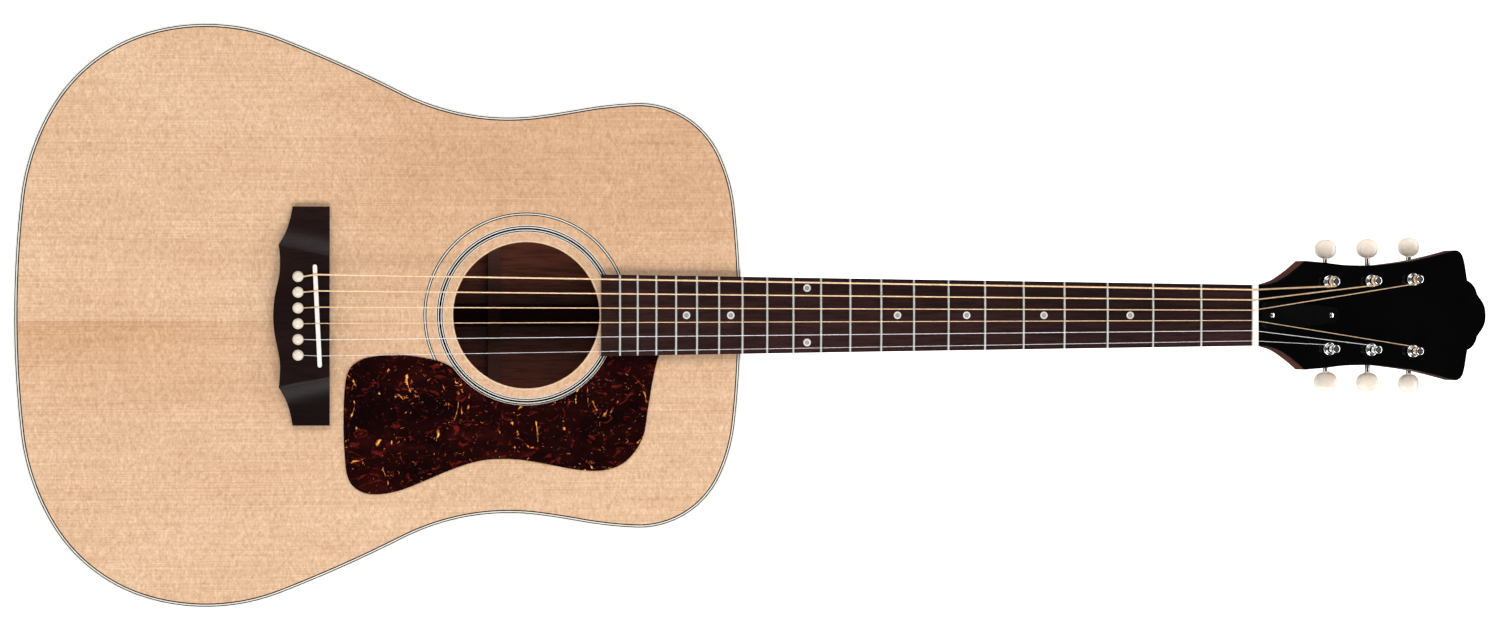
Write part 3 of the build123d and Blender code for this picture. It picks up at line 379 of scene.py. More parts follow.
def build_materials():
    mat_spruce()
    mat_wood("brace_spruce", (0.25, 0.145, 0.075), (0.36, 0.225, 0.125), 300, 3, (0.55, 0.7), 0.0, 0.3)
    mat_wood("mahogany", (0.060, 0.016, 0.008), (0.150, 0.046, 0.022), 120, 3.5, (0.16, 0.26), 0.6, 0.6, bare=(0.38, 0.112, 0.066))
    mat_wood("mahogany_side", (0.060, 0.016, 0.008), (0.150, 0.046, 0.022), 120, 3.5, (0.16, 0.26), 0.6, 0.6, uv=True)
    mat_wood("neck_mahogany", (0.050, 0.013, 0.008), (0.115, 0.034, 0.019), 150, 4.0, (0.34, 0.46), 0.10, 0.6, spec=0.25)
    mat_wood("block_mahogany", (0.16, 0.07, 0.035), (0.26, 0.12, 0.065), 150, 4.0, (0.5, 0.65), 0.0, 0.7)
    mat_wood("rosewood", (0.0170, 0.0075, 0.0072), (0.0420, 0.0165, 0.0150), 210, 5.0, (0.30, 0.42), 0.0, 0.7, spec=0.11)
    mat_wood("bridge_wood", (0.0085, 0.0040, 0.0040), (0.0185, 0.0088, 0.0082), 240, 7.0, (0.24, 0.34), 0.0, 0.6, spec=0.10)
    mat_plain("black_gloss", (0.0010, 0.0010, 0.0011), (0.0018, 0.0016, 0.0016), 14, (0.04, 0.07), 0.0, spec=0.14)
    mat_plain("black_plastic", (0.0015, 0.0015, 0.0016), (0.0028, 0.0027, 0.0028), 60, (0.07, 0.12), 0.0, spec=0.25)
    mat_plain("purfling_black", (0.0040, 0.0035, 0.0032), (0.0090, 0.0072, 0.0065), 90, (0.18, 0.26), 0.1, spec=0.2)
    mat_plain("ivory_binding", (0.80, 0.765, 0.69), (0.88, 0.855, 0.795), 30, (0.16, 0.26), 0.3, stretch=(0.4, 1, 1))
    mat_plain("inlay_white", (0.76, 0.72, 0.66), (0.86, 0.83, 0.78), 60, (0.2, 0.3), 0.3)
    mat_plain("inlay_cream", (0.80, 0.66, 0.48), (0.88, 0.75, 0.58), 60, (0.2, 0.3), 0.3)
    mat_tortoise()
    mat_plain("bone", (0.80, 0.77, 0.70), (0.90, 0.875, 0.82), 90, (0.22, 0.34), 0.1, stretch=(1, 0.25, 1))
    mat_plain("cream_plastic", (0.90, 0.77, 0.635), (0.97, 0.885, 0.775), 75, (0.15, 0.24), 0.3, dist=2.0)
    mat_plain("pin_plastic", (0.74, 0.64, 0.50), (0.83, 0.74, 0.61), 160, (0.14, 0.22), 0.3, dist=1.0)
    mat_pearl()
    mat_fret()
    # back braces: a mahogany tone made darker than the bare inner face of the back, as painted shade for the inside
    # of the body
    mat_wood("brace_mahogany_painted_shade", (0.110, 0.036, 0.022), (0.180, 0.062, 0.040), 300, 3, (0.55, 0.7), 0.0, 0.4)
    mat_wound()
    mat_plain("plain_steel", (0.94, 0.94, 0.95), (1.0, 1.0, 1.0), 60, (0.24, 0.32), metallic=0.3, stretch=(0.2, 4, 4))
    mat_plain("nickel", (0.72, 0.715, 0.70), (0.80, 0.795, 0.78), 110, (0.08, 0.16), metallic=1.0, bump=0.01)
    mat_plain("steel", (0.34, 0.34, 0.35), (0.50, 0.50, 0.50), 110, (0.3, 0.42), metallic=1.0, bump=0.03)
    mat_plain("floor_paper", (0.86, 0.86, 0.86), (0.90, 0.90, 0.90), 3, (0.85, 0.95), spec=0.1)
    paper = MATS["floor_paper"].node_tree.nodes["Principled BSDF"]
    paper.inputs["Emission Color"].default_value = (1.0, 1.0, 1.0, 1.0)
    paper.inputs["Emission Strength"].default_value = 0.85


build_materials()


def assign(node, mat):
    o = NODES[node]
    if not o.material_slots:
        o.data.materials.append(MATS[mat])
    for s in o.material_slots:
        s.link = "OBJECT"
        s.material = MATS[mat]


# ------------------------------------------------------------- mesh tools
def finish_mesh(me, angle):
    me.update()
    me.polygons.foreach_set("use_smooth", [True] * len(me.polygons))
    me.set_sharp_from_angle(angle=math.radians(angle))


def add(name, verts, faces, mats, nodes=(), body="guitar", angle=35.0,
        idx=None, uv=None, fix=True):
    """verts are G millimetres"""
    me = bpy.data.meshes.new(name)
    me.from_pydata(to_row(verts).tolist(), [], [tuple(int(q) for q in f) for f in faces])
    for m in (mats if isinstance(mats, (list, tuple)) else [mats]):
        me.materials.append(MATS[m])
    if idx is not None:
        me.polygons.foreach_set("material_index", [int(q) for q in idx])
    if uv is not None:
        layer = me.uv_layers.new(name="UVMap")
        loops = np.zeros(len(me.loops), np.int64)
        me.loops.foreach_get("vertex_index", loops)
        layer.data.foreach_set("uv", np.asarray(uv, float)[loops].ravel())
    if fix:
        bm = bmesh.new()
        bm.from_mesh(me)
        bmesh.ops.recalc_face_normals(bm, faces=bm.faces)
        bm.to_mesh(me)
        bm.free()
    finish_mesh(me, angle)
    ob = bpy.data.objects.new(name, me)
    SCENE.collection.objects.link(ob)
    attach(ob, body)
    if nodes:
        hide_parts(*nodes)
    return ob


def grid(rows, cols, wrap_r, wrap_c):
    f = []
    for i in range(rows if wrap_r else rows - 1):
        i2 = (i + 1) % rows
        for j in range(cols if wrap_c else cols - 1):
            j2 = (j + 1) % cols
            f.append((i * cols + j, i2 * cols + j, i2 * cols + j2, i * cols + j2))
    return f


def ring_strip(sections):
    """closed body ring: sections is a list of (offset, z function)"""
    loops = [outline(o)[0] for o, _ in sections]
    n = len(loops[0])
    m = len(sections)
    V = np.zeros((n, m, 3))
    for j, (o, zf) in enumerate(sections):
        V[:, j, :2] = loops[j]
        V[:, j, 2] = zf(loops[j][:, 0])
    return V.reshape(-1, 3), grid(n, m, True, True)


def lathe(profile, seg, place, close=False):
    """profile [(r, h)], place maps local (N,3) to G. Open ends on the axis
    are closed by a fan."""
    V, F = [], []
    rows = []
    for r, h in profile:
        if r < 1e-6:
            rows.append([len(V)])
            V.append((0, 0, h))
        else:
            rows.append(list(range(len(V), len(V) + seg)))
            for k in range(seg):
                a = 2 * math.pi * k / seg
                V.append((r * math.cos(a), r * math.sin(a), h))
    pairs = list(zip(rows[:-1], rows[1:]))
    if close:
        pairs.append((rows[-1], rows[0]))
    for a, b in pairs:
        if len(a) == 1 and len(b) == 1:
            continue
        for k in range(seg):
            k2 = (k + 1) % seg
            if len(a) == 1:
                F.append((a[0], b[k], b[k2]))
            elif len(b) == 1:
                F.append((a[k], b[0], a[k2]))
            else:
                F.append((a[k], b[k], b[k2], a[k2]))
    return place(np.array(V, float)), F


class Merge:
    """collects several closed pieces into one mesh"""

    def __init__(self):
        self.V, self.F, self.I, self.n = [], [], [], 0

    def put(self, vf, idx=0):
        v, f = vf
        v = np.asarray(v, float).reshape(-1, 3)
        self.V.append(v)
        self.F += [tuple(q + self.n for q in face) for face in f]
        self.I += [idx] * len(f)
        self.n += len(v)

    def verts(self):
        return np.vstack(self.V)


def transport(P, closed=False):
    """rotation-minimising frames along a polyline"""
    P = np.asarray(P, float)
    T = np.gradient(P, axis=0)
    T /= np.linalg.norm(T, axis=1)[:, None]
    a = np.array([0.0, 0.0, 1.0])
    if abs(T[0] @ a) > 0.9:
        a = np.array([0.0, 1.0, 0.0])
    N = np.zeros_like(P)
    N[0] = a - (a @ T[0]) * T[0]
    N[0] /= np.linalg.norm(N[0])
    for i in range(1, len(P)):
        v = N[i - 1] - (N[i - 1] @ T[i]) * T[i]
        N[i] = v / np.linalg.norm(v)
    return T, N, np.cross(T, N)


def tube(P, R, seg=10, caps=True):
    P = np.asarray(P, float)
    R = np.broadcast_to(np.asarray(R, float), (len(P),))
    T, N, B = transport(P)
    a = np.linspace(0, 2 * math.pi, seg, endpoint=False)
    V = (P[:, None, :] + R[:, None, None] * (np.cos(a)[None, :, None] * N[:, None, :]
                                             + np.sin(a)[None, :, None] * B[:, None, :]))
    V = V.reshape(-1, 3)
    F = grid(len(P), seg, False, True)
    if caps:
        n = len(V)
        V = np.vstack([V, P[0] - T[0] * R[0] * 0.35, P[-1] + T[-1] * R[-1] * 0.35])
        for k in range(seg):
            k2 = (k + 1) % seg
            F.append((n, k, k2))
            b = (len(P) - 1) * seg
            F.append((n + 1, b + k2, b + k))
    return V, F


def rounded_path(points, radii, step):
    """straight runs joined by tangent arcs, sampled"""
    P = [np.array(p, float) for p in points]
    out = [P[0]]

    def run(a, b):
        L = np.linalg.norm(b - a)
        n = max(1, int(round(L / step)))
        for k in range(1, n + 1):
            out.append(a + (b - a) * k / n)

    cur = P[0]
    for i in range(1, len(P) - 1):
        a = P[i - 1] - P[i]
        b = P[i + 1] - P[i]
        a /= np.linalg.norm(a)
        b /= np.linalg.norm(b)
        half = math.acos(max(-1, min(1, float(a @ b)))) / 2
        r = radii[i - 1]
        cut = r / math.tan(half)
        t0, t1 = P[i] + a * cut, P[i] + b * cut
        bis = (a + b) / np.linalg.norm(a + b)
        c = P[i] + bis * (r / math.sin(half))
        run(cur, t0)
        e0, e1 = (t0 - c) / r, (t1 - c) / r
        ang = math.acos(max(-1, min(1, float(e0 @ e1))))
        n = max(2, int(math.ceil(r * ang / step)))
        for k in range(1, n + 1):
            q = k / n
            out.append(c + r * (math.sin((1 - q) * ang) * e0 + math.sin(q * ang) * e1) / math.sin(ang))
        cur = t1
    run(cur, P[-1])
    return np.array(out)


def refine(node, mat, bevel=0.3, segs=2, angle=32.0, body="guitar", name=None,
           shade=38.0, dissolve=True):
    """a copy of the CAD node's mesh with its sharp edges eased"""
    src = NODES[node]
    bm = bmesh.new()
    bm.from_mesh(src.data)
    bmesh.ops.remove_doubles(bm, verts=bm.verts, dist=4e-6)
    if dissolve:
        bmesh.ops.dissolve_limit(bm, angle_limit=math.radians(0.6), use_dissolve_boundaries=False,
                                 verts=bm.verts, edges=bm.edges)
    me = bpy.data.meshes.new((name or node + "_shape"))
    bm.to_mesh(me)
    bm.free()
    for m in (mat if isinstance(mat, (list, tuple)) else [mat]):
        me.materials.append(MATS[m])
    me.polygons.foreach_set("material_index", [0] * len(me.polygons))
    finish_mesh(me, shade)
    ob = bpy.data.objects.new(name or node + "_shape", me)
    SCENE.collection.objects.link(ob)
    if bevel:
        b = ob.modifiers.new("ease", "BEVEL")
        b.width = bevel * 1e-3
        b.segments = segs
        b.limit_method = "ANGLE"
        b.angle_limit = math.radians(angle)
        b.use_clamp_overlap = True
        b.miter_outer = "MITER_ARC"
        b.harden_normals = False
        w = ob.modifiers.new("normals", "WEIGHTED_NORMAL")
        w.keep_sharp = True
        w.weight = 60
    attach(ob, body)
    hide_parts(node)
    return ob


# ------------------------------------------------- CAD pieces kept as they are
assign("soundboard", "spruce")
assign("back_plate", "mahogany")
assign("top_braces", "brace_spruce")
# the back braces' colour carries painted shade for the inside of the body
assign("back_braces", "brace_mahogany_painted_shade")
assign("bridge_plate", "brace_spruce")
assign("linings", "brace_spruce")
assign("neck_block", "block_mahogany")
assign("tail_block", "block_mahogany")
assign("truss_rod", "steel")
assign("pickguard", "tortoise")
assign("fingerboard", "rosewood")
assign("frets", "nickel_silver")


# ------------------------------------------------------------------ body
def build_bindings():
    flat = lambda h: (lambda x: np.full(len(x), h))
    bz = lambda h: (lambda x: back_z(x, h))
    w0, w1, w2 = 2.15, 1.50, 0.75     # edges between the lines, outside in
    # top: white edge strip with a rounded corner
    sec = [(w0, flat(0.0)), (2.35, flat(0.01)), (2.6, flat(-0.04)), (2.9, flat(-0.2)),
           (3.14, flat(-0.46)), (3.27, flat(-0.8)), (3.3, flat(-1.2)),
           (3.3, flat(-BIND_H)), (w0, flat(-BIND_H))]
    v, f = ring_strip(sec)
    add("binding_top_edge", v, f, "ivory_binding", ["bindings"])
    for nm, a, b, m, slot in (("binding_top_line_outer", w1, w0, "purfling_black", "black_plastic"),
                              ("binding_top_line_white", w2, w1, "inlay_white", "ivory_binding"),
                              ("binding_top_line_inner", -0.05, w2, "purfling_black", "black_plastic")):
        v, f = ring_strip([(a, flat(0.012)), (b, flat(0.012)), (b, flat(-1.6)), (max(a, 0.0), flat(-1.6))])
        add(nm, v, f, m, ["bindings"])
    v, f = ring_strip([(0.0, flat(-1.6)), (w0, flat(-1.6)), (w0, flat(-BIND_H)), (0.0, flat(-BIND_H))])
    add("binding_top_ledge", v, f, "inlay_white", ["bindings"])
    # back
    sec = [(1.2, bz(0.0)), (2.2, bz(0.0)), (2.6, bz(0.05)), (2.95, bz(0.22)),
           (3.18, bz(0.5)), (3.28, bz(0.85)), (3.3, bz(1.2)),
           (3.3, bz(BACK_BIND_H)), (1.2, bz(BACK_BIND_H))]
    v, f = ring_strip(sec)
    add("binding_back_edge", v, f, "ivory_binding", ["bindings"])
    for nm, a, b, m, slot in (("binding_back_line_outer", 0.85, 1.2, "purfling_black", "black_plastic"),
                              ("binding_back_line_white", 0.35, 0.85, "inlay_white", "ivory_binding"),
                              ("binding_back_line_inner", 0.0, 0.35, "purfling_black", "black_plastic")):
        v, f = ring_strip([(a, bz(0.0)), (b, bz(0.0)), (b, bz(BACK_BIND_H)), (a, bz(BACK_BIND_H))])
        add(nm, v, f, m, ["bindings"])


def build_sides():
    """each side in one bent sheet, grain along it"""
    lo, half = outline(EDGE_W)
    li, _ = outline(EDGE_W - SIDE_T)
    n = len(lo)
    for nm, ids in (("side_bass", list(range(0, half))),
                    ("side_treble", list(range(half - 1, n)) + [0])):
        po, pi = lo[ids], li[ids]
        L = np.concatenate([[0], np.cumsum(np.linalg.norm(np.diff(po, axis=0), axis=1))])
        rows = 9
        V, UV = [], []
        for P in (po, pi):
            zt = np.full(len(P), -BIND_H)
            zb = back_z(P[:, 0], BACK_BIND_H)
            for k in range(rows):
                q = k / (rows - 1)
                z = zt + (zb - zt) * q
                V.append(np.stack([P[:, 0], P[:, 1], z], 1))
                UV.append(np.stack([L * 1e-3, z * 1e-3 + (0.4 if nm == "side_bass" else 0.0)], 1))
        m = len(ids)
        V = np.vstack(V)
        UV = np.vstack(UV)
        F = []
        for s in (0, 1):
            for k in range(rows - 1):
                for j in range(m - 1):
                    a = (s * rows + k) * m + j
                    F.append((a, a + 1, a + m + 1, a + m))
        top_o, bot_o = 0, (rows - 1) * m
        top_i, bot_i = rows * m, (2 * rows - 1) * m
        for j in range(m - 1):
            F.append((top_o + j, top_i + j, top_i + j + 1, top_o + j + 1))
            F.append((bot_o + j, bot_o + j + 1, bot_i + j + 1, bot_i + j))
        for j in (0, m - 1):
            for k in range(rows - 1):
                a, b = k * m + j, (rows + k) * m + j
                F.append((a, a + m, b + m, b))
        add(nm, V, F, "mahogany_side", ["sides"], uv=UV)


def build_rosette():
    rings = [(57.1, 57.5, "inlay_white"), (57.5, 58.2, "purfling_black"),
             (58.2, 58.75, "inlay_white"), (58.75, 60.05, "purfling_black"),
             (60.05, 60.65, "inlay_white"), (60.65, 61.4, "purfling_black"),
             (61.4, 61.8, "inlay_white"),
             (68.4, 68.5, "inlay_cream"), (68.5, 69.2, "purfling_black"),
             (69.2, 69.9, "inlay_white"), (69.9, 70.6, "purfling_black"),
             (70.6, 70.7, "inlay_cream")]
    for k, (a, b, m) in enumerate(rings):
        v, f = lathe([(a, -1.2), (b, -1.2), (b, 0.012), (a, 0.012)], 360,
                     lambda p: p + np.array([-HOLE_X, 0, 0]), close=True)
        add("rosette_ring_%02d" % (k + 1), v, f, m,
            ["rosette"])
    # the eased edge of the sound hole
    v, f = lathe([(51.15, 0.012), (50.75, 0.0), (50.45, -0.14), (50.3, -0.42), (50.27, -0.8),
                  (50.27, -3.0), (50.5, -3.0), (51.15, -0.6)], 256,
                 lambda p: p + np.array([-HOLE_X, 0, 0]), close=True)
    add("sound_hole_edge", v, f, "inlay_cream")


# ------------------------------------------------------------------ strings
def string_points(i):
    d = STRING_D[i]
    r = d / 2
    st, side = STRING_POST[i]
    s_p, y_p = TUNER_S[st], side * TUNER_Y[st]
    yn, ys = STRING_NUT_Y[i], STRING_SADDLE_Y[i]
    gap = WAIST_R + r
    sn = 2.0
    ds, dy = s_p - sn, y_p - yn
    dist = math.hypot(ds, dy)
    base = math.atan2(dy, ds)
    turn = math.asin(gap / dist)
    ang = base - side * turn
    run = dist * math.cos(turn)
    tp = (sn + run * math.cos(ang), yn + run * math.sin(ang))
    p0 = head([[tp[0], tp[1], WIND_MID]])[0]
    zn = fb_top(yn) + 1.55 + r
    p1 = (0.9, yn, zn)
    xs = -(SADDLE_MID_X + ys * math.tan(math.radians(2.8)))
    p2 = (xs, ys, saddle_top(ys) + r - 0.12)
    xv = -(PIN_X - 2.5 - r - 0.02)
    p3 = (xv, PIN_Y[i], BRIDGE_H + 0.35)
    p4 = (xv, PIN_Y[i], -9.0)
    phi = math.atan2(tp[1] - y_p, tp[0] - s_p)
    return [p0, p1, p2, p3, p4], [6.0, 2.2, max(1.3, 1.6 * r + 0.4)], phi, side, st


def build_strings():
    pitch = (0.62, 0.52, 0.46, 0.42)
    for i in range(6):
        pts, rad, phi, side, st = string_points(i)
        r = STRING_D[i] / 2
        y_p = side * TUNER_Y[st]
        if i < 4:
            P = rounded_path(pts, rad, pitch[i] / 2)
            R = np.where(np.arange(len(P)) % 2 == 0, r, r * 0.86)
            seg = 10
        else:
            P = rounded_path(pts, rad, 2.0)
            R = np.full(len(P), r)
            seg = 12
        # the last bit lies against the post
        ext = []
        for k in range(10, 0, -1):
            a = phi + side * k * 0.09
            ext.append(head([[TUNER_S[st] + (WAIST_R + r) * math.cos(a),
                              y_p + (WAIST_R + r) * math.sin(a), WIND_MID]])[0])
        P = np.vstack([np.array(ext), P])
        R = np.concatenate([np.full(len(ext), r), R])
        wound = i < 4
        v, f = tube(P, R, seg)
        add("string_%d" % (i + 1), v, f, "bronze_wound" if wound else "plain_steel",
            ["strings_wound" if wound else "strings_plain"], angle=60, fix=False)


# ------------------------------------------------------------------ tuners
def tuner_place(i, local=None):
    st, side = STRING_POST[i]
    base = np.array([TUNER_S[st], side * TUNER_Y[st], 0.0])
    return lambda p: head(np.asarray(p, float).reshape(-1, 3) + base)


def shaft_place(i):
    """local z runs outwards along the worm shaft, local x along the
    headstock, local y out of its face"""
    st, side = STRING_POST[i]
    base = np.array([TUNER_S[st] + WORM_OFF, side * TUNER_Y[st], -WORM_DEPTH])

    def f(p):
        p = np.asarray(p, float).reshape(-1, 3)
        q = np.stack([p[:, 0], side * p[:, 2], p[:, 1]], 1)
        return head(q + base)
    return f


def button_mesh(turn):
    """oval button, face towards local y at turn 0, centre at BUTTON_V"""
    a, b, h = 8.4, 6.85, 3.6
    prof = [(0.0, 0.0), (0.03, 0.62), (0.14, 1.22), (0.34, 1.78), (0.66, 2.28),
            (1.08, 2.68), (1.62, 2.98), (2.3, 3.20), (3.2, 3.38), (4.4, 3.52), (5.6, 3.59)]
    rows = [(d, -z) for d, z in reversed(prof[1:])] + prof
    seg = 72
    V, F = [], []
    ex = 2.0 / 2.25
    for d, z in rows:
        for k in range(seg):
            t = 2 * math.pi * k / seg
            c, s = math.cos(t), math.sin(t)
            x = math.copysign(abs(c) ** (ex if c < 0 else 0.80), c) * (a - d) * (1.0 if c < 0 else 0.95)
            v = math.copysign(abs(s) ** ex, s) * max(b - d, 0.3)
            V.append((x, v, z))
    F = grid(len(rows), seg, False, True)
    n = len(V)
    V += [(0, 0, -h), (0, 0, h)]
    last = (len(rows) - 1) * seg
    for k in range(seg):
        k2 = (k + 1) % seg
        F.append((n, k2, k))
        F.append((n + 1, last + k, last + k2))
    V = np.array(V, float)
    # x along the head, v outwards, z out of the face -> shaft frame
    th = math.radians(turn)
    x = V[:, 0] * math.cos(th) + V[:, 2] * math.sin(th)
    z = -V[:, 0] * math.sin(th) + V[:, 2] * math.cos(th)
    return np.stack([x, z, V[:, 1] + BUTTON_V], 1), F


def helix_worm():
    seg, p = 32, 1.75
    zs = np.arange(-4.0, 4.0001, 0.125)
    V = []
    for z in zs:
        e = min(1.0, (4.0 - abs(z)) / 0.5)
        for k in range(seg):
            a = 2 * math.pi * k / seg
            ph = (z / p - k / seg) % 1.0
            tri = min(1.0, max(0.0, (0.5 - abs(ph - 0.5)) * 2 * 1.7 - 0.25))
            r = 1.55 + 0.68 * tri * max(0.15, e)
            V.append((r * math.cos(a), r * math.sin(a), z))
    F = grid(len(zs), seg, False, True)
    n = len(V)
    V += [(0, 0, zs[0]), (0, 0, zs[-1])]
    last = (len(zs) - 1) * seg
    for k in range(seg):
        k2 = (k + 1) % seg
        F.append((n, k2, k))
        F.append((n + 1, last + k, last + k2))
    return np.array(V, float), F


def screw_head(r, h, slot, rows=16, seg=48):
    """domed screw head with a cross recess, its seat at h = 0"""
    V, F = [(0.0, 0.0, 0.0)], []
    rr = np.linspace(0, r * 0.97, rows)[1:]

    def depth(x, y):
        dome = h * (1 - 0.42 * ((x * x + y * y) / (r * r)))
        arm = 0.0
        for u, v in ((x, y), (y, x)):
            if abs(u) < slot and abs(v) < r * 0.62:
                e = min(1.0, (slot - abs(u)) / (slot * 0.35), (r * 0.62 - abs(v)) / (slot * 0.5))
                arm = max(arm, e)
        return dome - arm * h * 0.55
    V[0] = (0.0, 0.0, depth(0, 0))
    for q in rr:
        for k in range(seg):
            a = 2 * math.pi * k / seg
            x, y = q * math.cos(a), q * math.sin(a)
            V.append((x, y, depth(x, y)))
    for k in range(seg):
        F.append((0, 1 + k, 1 + (k + 1) % seg))
    for i in range(len(rr) - 1):
        for k in range(seg):
            k2 = (k + 1) % seg
            F.append((1 + i * seg + k, 1 + (i + 1) * seg + k, 1 + (i + 1) * seg + k2, 1 + i * seg + k2))
    b = 1 + (len(rr) - 1) * seg
    for q, z in ((r, h * 0.40), (r, 0.0)):
        s = len(V)
        for k in range(seg):
            a = 2 * math.pi * k / seg
            V.append((q * math.cos(a), q * math.sin(a), z))
        for k in range(seg):
            k2 = (k + 1) % seg
            F.append((b + k, s + k, s + k2, b + k2))
        b = s
    s = len(V)
    V.append((0, 0, 0))
    for k in range(seg):
        F.append((b + k, s, b + (k + 1) % seg))
    return np.array(V, float), F


def build_tuners():
    bush = [(3.07, -7.9), (4.0, -7.9), (4.0, 0.0), (4.72, 0.0), (4.8, 0.1), (4.8, 0.5),
            (4.74, 0.74), (4.58, 0.94), (4.3, 1.10), (3.95, 1.19), (3.6, 1.20),
            (3.3, 1.14), (3.14, 1.02), (3.07, 0.86)]
    all_bush = Merge()
    for i in range(6):
        n = i + 1
        st, side = STRING_POST[i]
        pl = tuner_place(i)
        sh = shaft_place(i)
        key, cap = "tuner_%d_key" % n, "tuner_%d_capstan" % n
        all_bush.put(lathe(bush, 64, pl, close=True))
        post = [(0, -19.2), (1.55, -19.2), (1.7, -19.05), (1.7, -16.8), (2.8, -16.8), (3.0, -16.6),
                (3.0, 4.9), (2.93, 5.12), (2.7, 5.3), (2.5, 5.5), (2.5, 8.4), (2.66, 8.62),
                (2.9, 8.78), (3.0, 8.98), (3.0, 9.75), (2.94, 10.0), (2.8, 10.2), (2.55, 10.34),
                (2.2, 10.4), (1.3, 10.34), (0, 10.3)]
        v, f = lathe(post, 64, pl)
        add("tuner_%d_post_shape" % n, v, f, "nickel", ["tuner_%d_post" % n], cap, angle=40)
        # turns of string
        d = STRING_D[i]
        r = d / 2
        hgt = (2.9, 2.9, 2.4, 2.4, 2.0, 1.5)[i]
        turns = max(1.3, (hgt - d) / (d * 1.04))
        _, _, phi, _, _ = string_points(i)
        T = np.linspace(-turns / 2, turns / 2, int(turns * 56))
        A = phi - side * 2 * math.pi * T
        H = WIND_MID + T * (hgt - d) / turns
        rad = np.full(len(T), WAIST_R + r)
        C = np.stack([rad * np.cos(A), rad * np.sin(A), H], 1)
        v, f = tube(pl(C), r * 0.995, 12)
        wm = "bronze_wound" if i < 4 else "plain_steel"
        add("tuner_%d_turns" % n, v, f, wm, ["tuner_%d_winding" % n], cap, angle=60, fix=False)
        # worm and its shaft
        m = Merge()
        wv, wf = helix_worm()
        m.put((sh(wv), wf))
        m.put(lathe([(0, -6.2), (1.15, -6.2), (1.3, -6.05), (1.3, 5.8), (1.62, 5.8), (1.8, 5.98),
                     (1.8, 15.2), (1.8, 22.0), (0, 22.0)], 40, sh))
        add("tuner_%d_worm_shape" % n, m.verts(), m.F, "nickel", ["tuner_%d_worm" % n], key, angle=40)
        # button and its collar
        m = Merge()
        bv, bf = button_mesh(BUTTON_TURN[i])
        m.put((sh(bv), bf))
        m.put(lathe([(1.82, BUTTON_V - 7.3), (2.15, BUTTON_V - 7.3), (2.32, BUTTON_V - 7.15),
                     (2.36, BUTTON_V - 6.95), (2.3, BUTTON_V - 6.7), (2.25, BUTTON_V - 6.5),
                     (2.3, BUTTON_V - 6.2), (2.5, BUTTON_V - 5.6), (1.82, BUTTON_V - 5.2)], 48, sh, close=True))
        add("tuner_%d_button_shape" % n, m.verts(), m.F, "cream_plastic",
            ["tuner_%d_button" % n], key, angle=40)
        assign("tuner_%d_gear" % n, "nickel")
    add("tuner_bushing_rings", all_bush.verts(), all_bush.F, "nickel", ["tuner_bushings"], angle=40)
    # screws of the base plates and of the cover plate
    m = Merge()
    for i in range(6):
        pl = tuner_place(i)
        for u in (-7.2, 14.4):
            def f(p, u=u, pl=pl):
                p = np.asarray(p, float).reshape(-1, 3)
                return pl(np.stack([p[:, 0] + u, -p[:, 1], -15.2 - p[:, 2]], 1))
            v, fc = screw_head(1.9, 0.9, 0.26)
            m.put((f(v), fc))
            m.put(lathe([(0, -8.0 + 1.0), (0.9, -7.0), (0.9, 0.2), (0, 0.2)], 20, f))
    for s in (15.7, 63.2):
        def f(p, s=s):
            p = np.asarray(p, float).reshape(-1, 3)
            return head(np.stack([p[:, 0] + s, p[:, 1], 2.0 + p[:, 2]], 1))
        v, fc = screw_head(1.7, 0.7, 0.24)
        m.put((f(v), fc))
        m.put(lathe([(0, -5.0), (0.7, -5.0), (0.7, 0.2), (0, 0.2)], 20, f))
    add("small_screw_heads", m.verts(), m.F, "nickel", ["small_screws"], angle=32)


def build_pins():
    prof = [(0, 11.85), (0.9, 11.80), (1.75, 11.60), (2.5, 11.22), (3.05, 10.78), (3.45, 10.30),
            (3.68, 9.90), (3.75, 9.55), (3.72, 9.25), (3.55, 9.05), (3.2, 9.0), (2.5, 9.0),
            (2.5, -11.0), (2.1, -12.0), (0, -12.0)]
    m = Merge()
    for y in PIN_Y:
        m.put(lathe(prof, 56, lambda p, y=y: p + np.array([-PIN_X, y, 0])))
    add("bridge_pin_set", m.verts(), m.F, "pin_plastic", ["bridge_pins"], angle=40)


def build_dots():
    rim, mid = Merge(), Merge()
    for n in (3, 5, 7, 9, 12, 15, 17):
        X = (fret_x(n) + fret_x(n - 1)) / 2
        for y in ((18.8, -18.8) if n == 12 else (0.0,)):
            z = fb_top(y)
            a = math.asin(y / FB_R)

            def pl(p, X=X, y=y, z=z, a=a):
                p = np.asarray(p, float).reshape(-1, 3)
                yy = p[:, 1] * math.cos(a) + p[:, 2] * math.sin(a)
                zz = -p[:, 1] * math.sin(a) + p[:, 2] * math.cos(a)
                return np.stack([p[:, 0] - X, yy + y, zz + z], 1)
            rim.put(lathe([(1.62, 0.03), (2.48, 0.03), (2.6, -0.03), (2.6, -2.0), (1.62, -2.0)], 48, pl, close=True))
            mid.put(lathe([(0, 0.035), (1.62, 0.02), (1.62, -2.0), (0, -2.0)], 48, pl))
    add("position_dot_rims", rim.verts(), rim.F, "inlay_white", ["position_dots"], angle=40)
    add("position_dot_centres", mid.verts(), mid.F, "pearl", ["position_dots"], angle=40)


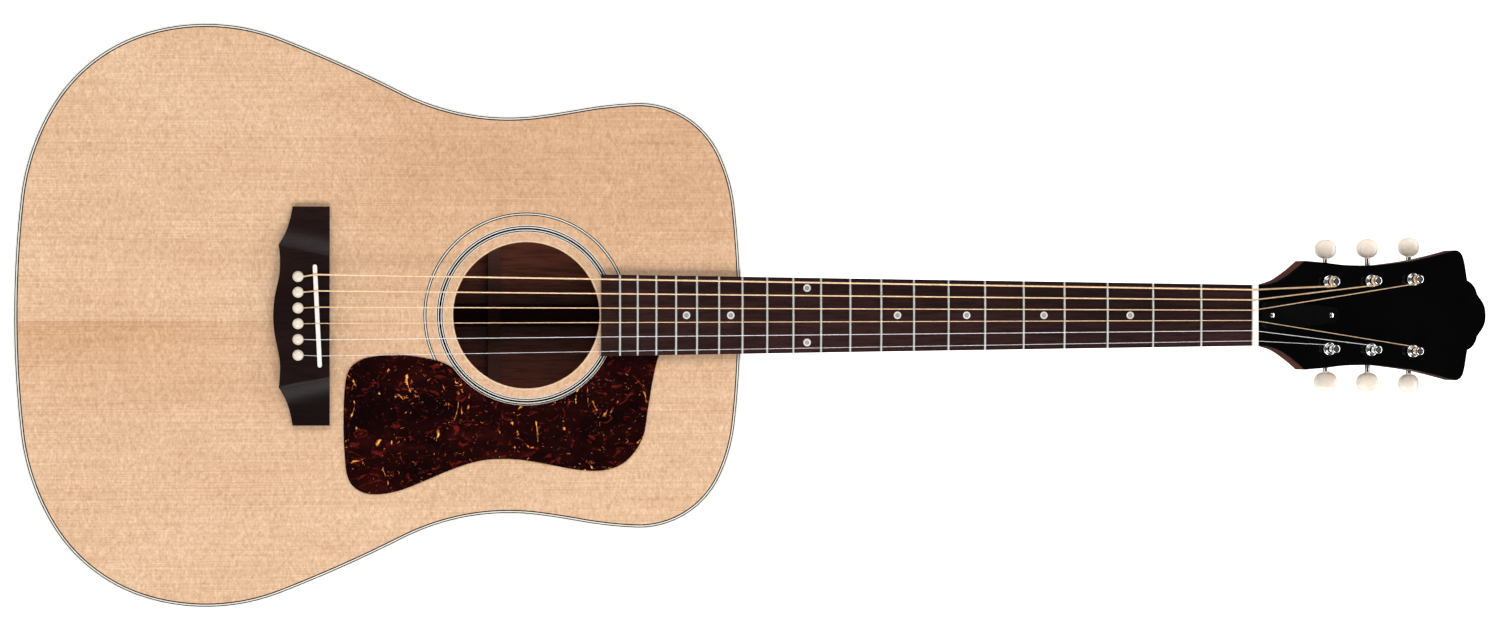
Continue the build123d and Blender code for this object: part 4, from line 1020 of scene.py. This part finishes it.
build_bindings()
build_sides()
build_rosette()
build_strings()
build_tuners()
build_pins()
build_dots()
refine("neck", "neck_mahogany", 0.5, 3, 40)
refine("headstock_veneer", "black_gloss", 0.35, 2, 40)
refine("heel_cap", "black_plastic", 0.35, 2, 40)
refine("truss_rod_cover", "black_plastic", 0.45, 3, 40)
refine("bridge", "bridge_wood", 0.45, 2, 40)
refine("saddle", "bone", 0.35, 2, 40)
refine("nut", "bone", 0.3, 2, 40)
refine("tuner_baseplates", "nickel", 0.18, 2, 40)


# ------------------------------------------------------------------ stage
def build_stage():
    me = bpy.data.meshes.new("floor")
    s = 9.0
    me.from_pydata([(-s, -s, -0.0004), (s, -s, -0.0004), (s, s, -0.0004), (-s, s, -0.0004)], [], [(0, 1, 2, 3)])
    me.materials.append(MATS["floor_paper"])
    ob = bpy.data.objects.new("floor", me)
    SCENE.collection.objects.link(ob)
    ob.visible_glossy = False

    cam = bpy.data.cameras.new("camera")
    cam.sensor_fit = "HORIZONTAL"
    cam.sensor_width = 36.0
    cam.lens = 78.69
    cam.clip_start = 0.05
    cam.clip_end = 60.0
    co = bpy.data.objects.new("camera", cam)
    right = Vector((0.99738, 0.0, 0.07229))
    up = Vector((0, 1, 0))
    back = right.cross(up).normalized()
    co.matrix_world = Matrix(((right.x, up.x, back.x, 0.0934),
                              (right.y, up.y, back.y, 0.0002),
                              (right.z, up.z, back.z, 2.3668),
                              (0, 0, 0, 1)))
    SCENE.collection.objects.link(co)
    SCENE.camera = co

    w = bpy.data.worlds.new("studio")
    w.use_nodes = True
    bg = w.node_tree.nodes["Background"]
    bg.inputs[0].default_value = (0.96, 0.98, 1.0, 1.0)
    bg.inputs[1].default_value = 0.06
    SCENE.world = w

    def area(name, loc, target, sx, sy, power, col=(1, 1, 1)):
        l = bpy.data.lights.new(name, "AREA")
        l.shape = "RECTANGLE"
        l.size, l.size_y = sx, sy
        l.energy = power
        l.color = col
        o = bpy.data.objects.new(name, l)
        d = Vector(target) - Vector(loc)
        o.rotation_euler = d.to_track_quat("-Z", "Y").to_euler()
        o.location = loc
        SCENE.collection.objects.link(o)

    area("key", (0.3, -1.95, 2.4), (0.2, 0.0, 0.05), 3.8, 1.3, 84)
    area("fill", (0.3, 1.95, 2.4), (0.2, 0.0, 0.05), 3.8, 1.3, 58)
    area("left", (-2.6, 0.0, 1.5), (0.0, 0.0, 0.05), 2.8, 1.2, 26)
    area("right", (3.3, 0.0, 1.2), (0.4, 0.0, 0.05), 2.8, 0.9, 38)
    SCENE.view_settings.view_transform = "Standard"
    SCENE.view_settings.look = "None"
    SCENE.view_settings.exposure = 0.0
    SCENE.view_settings.gamma = 1.0


build_stage()
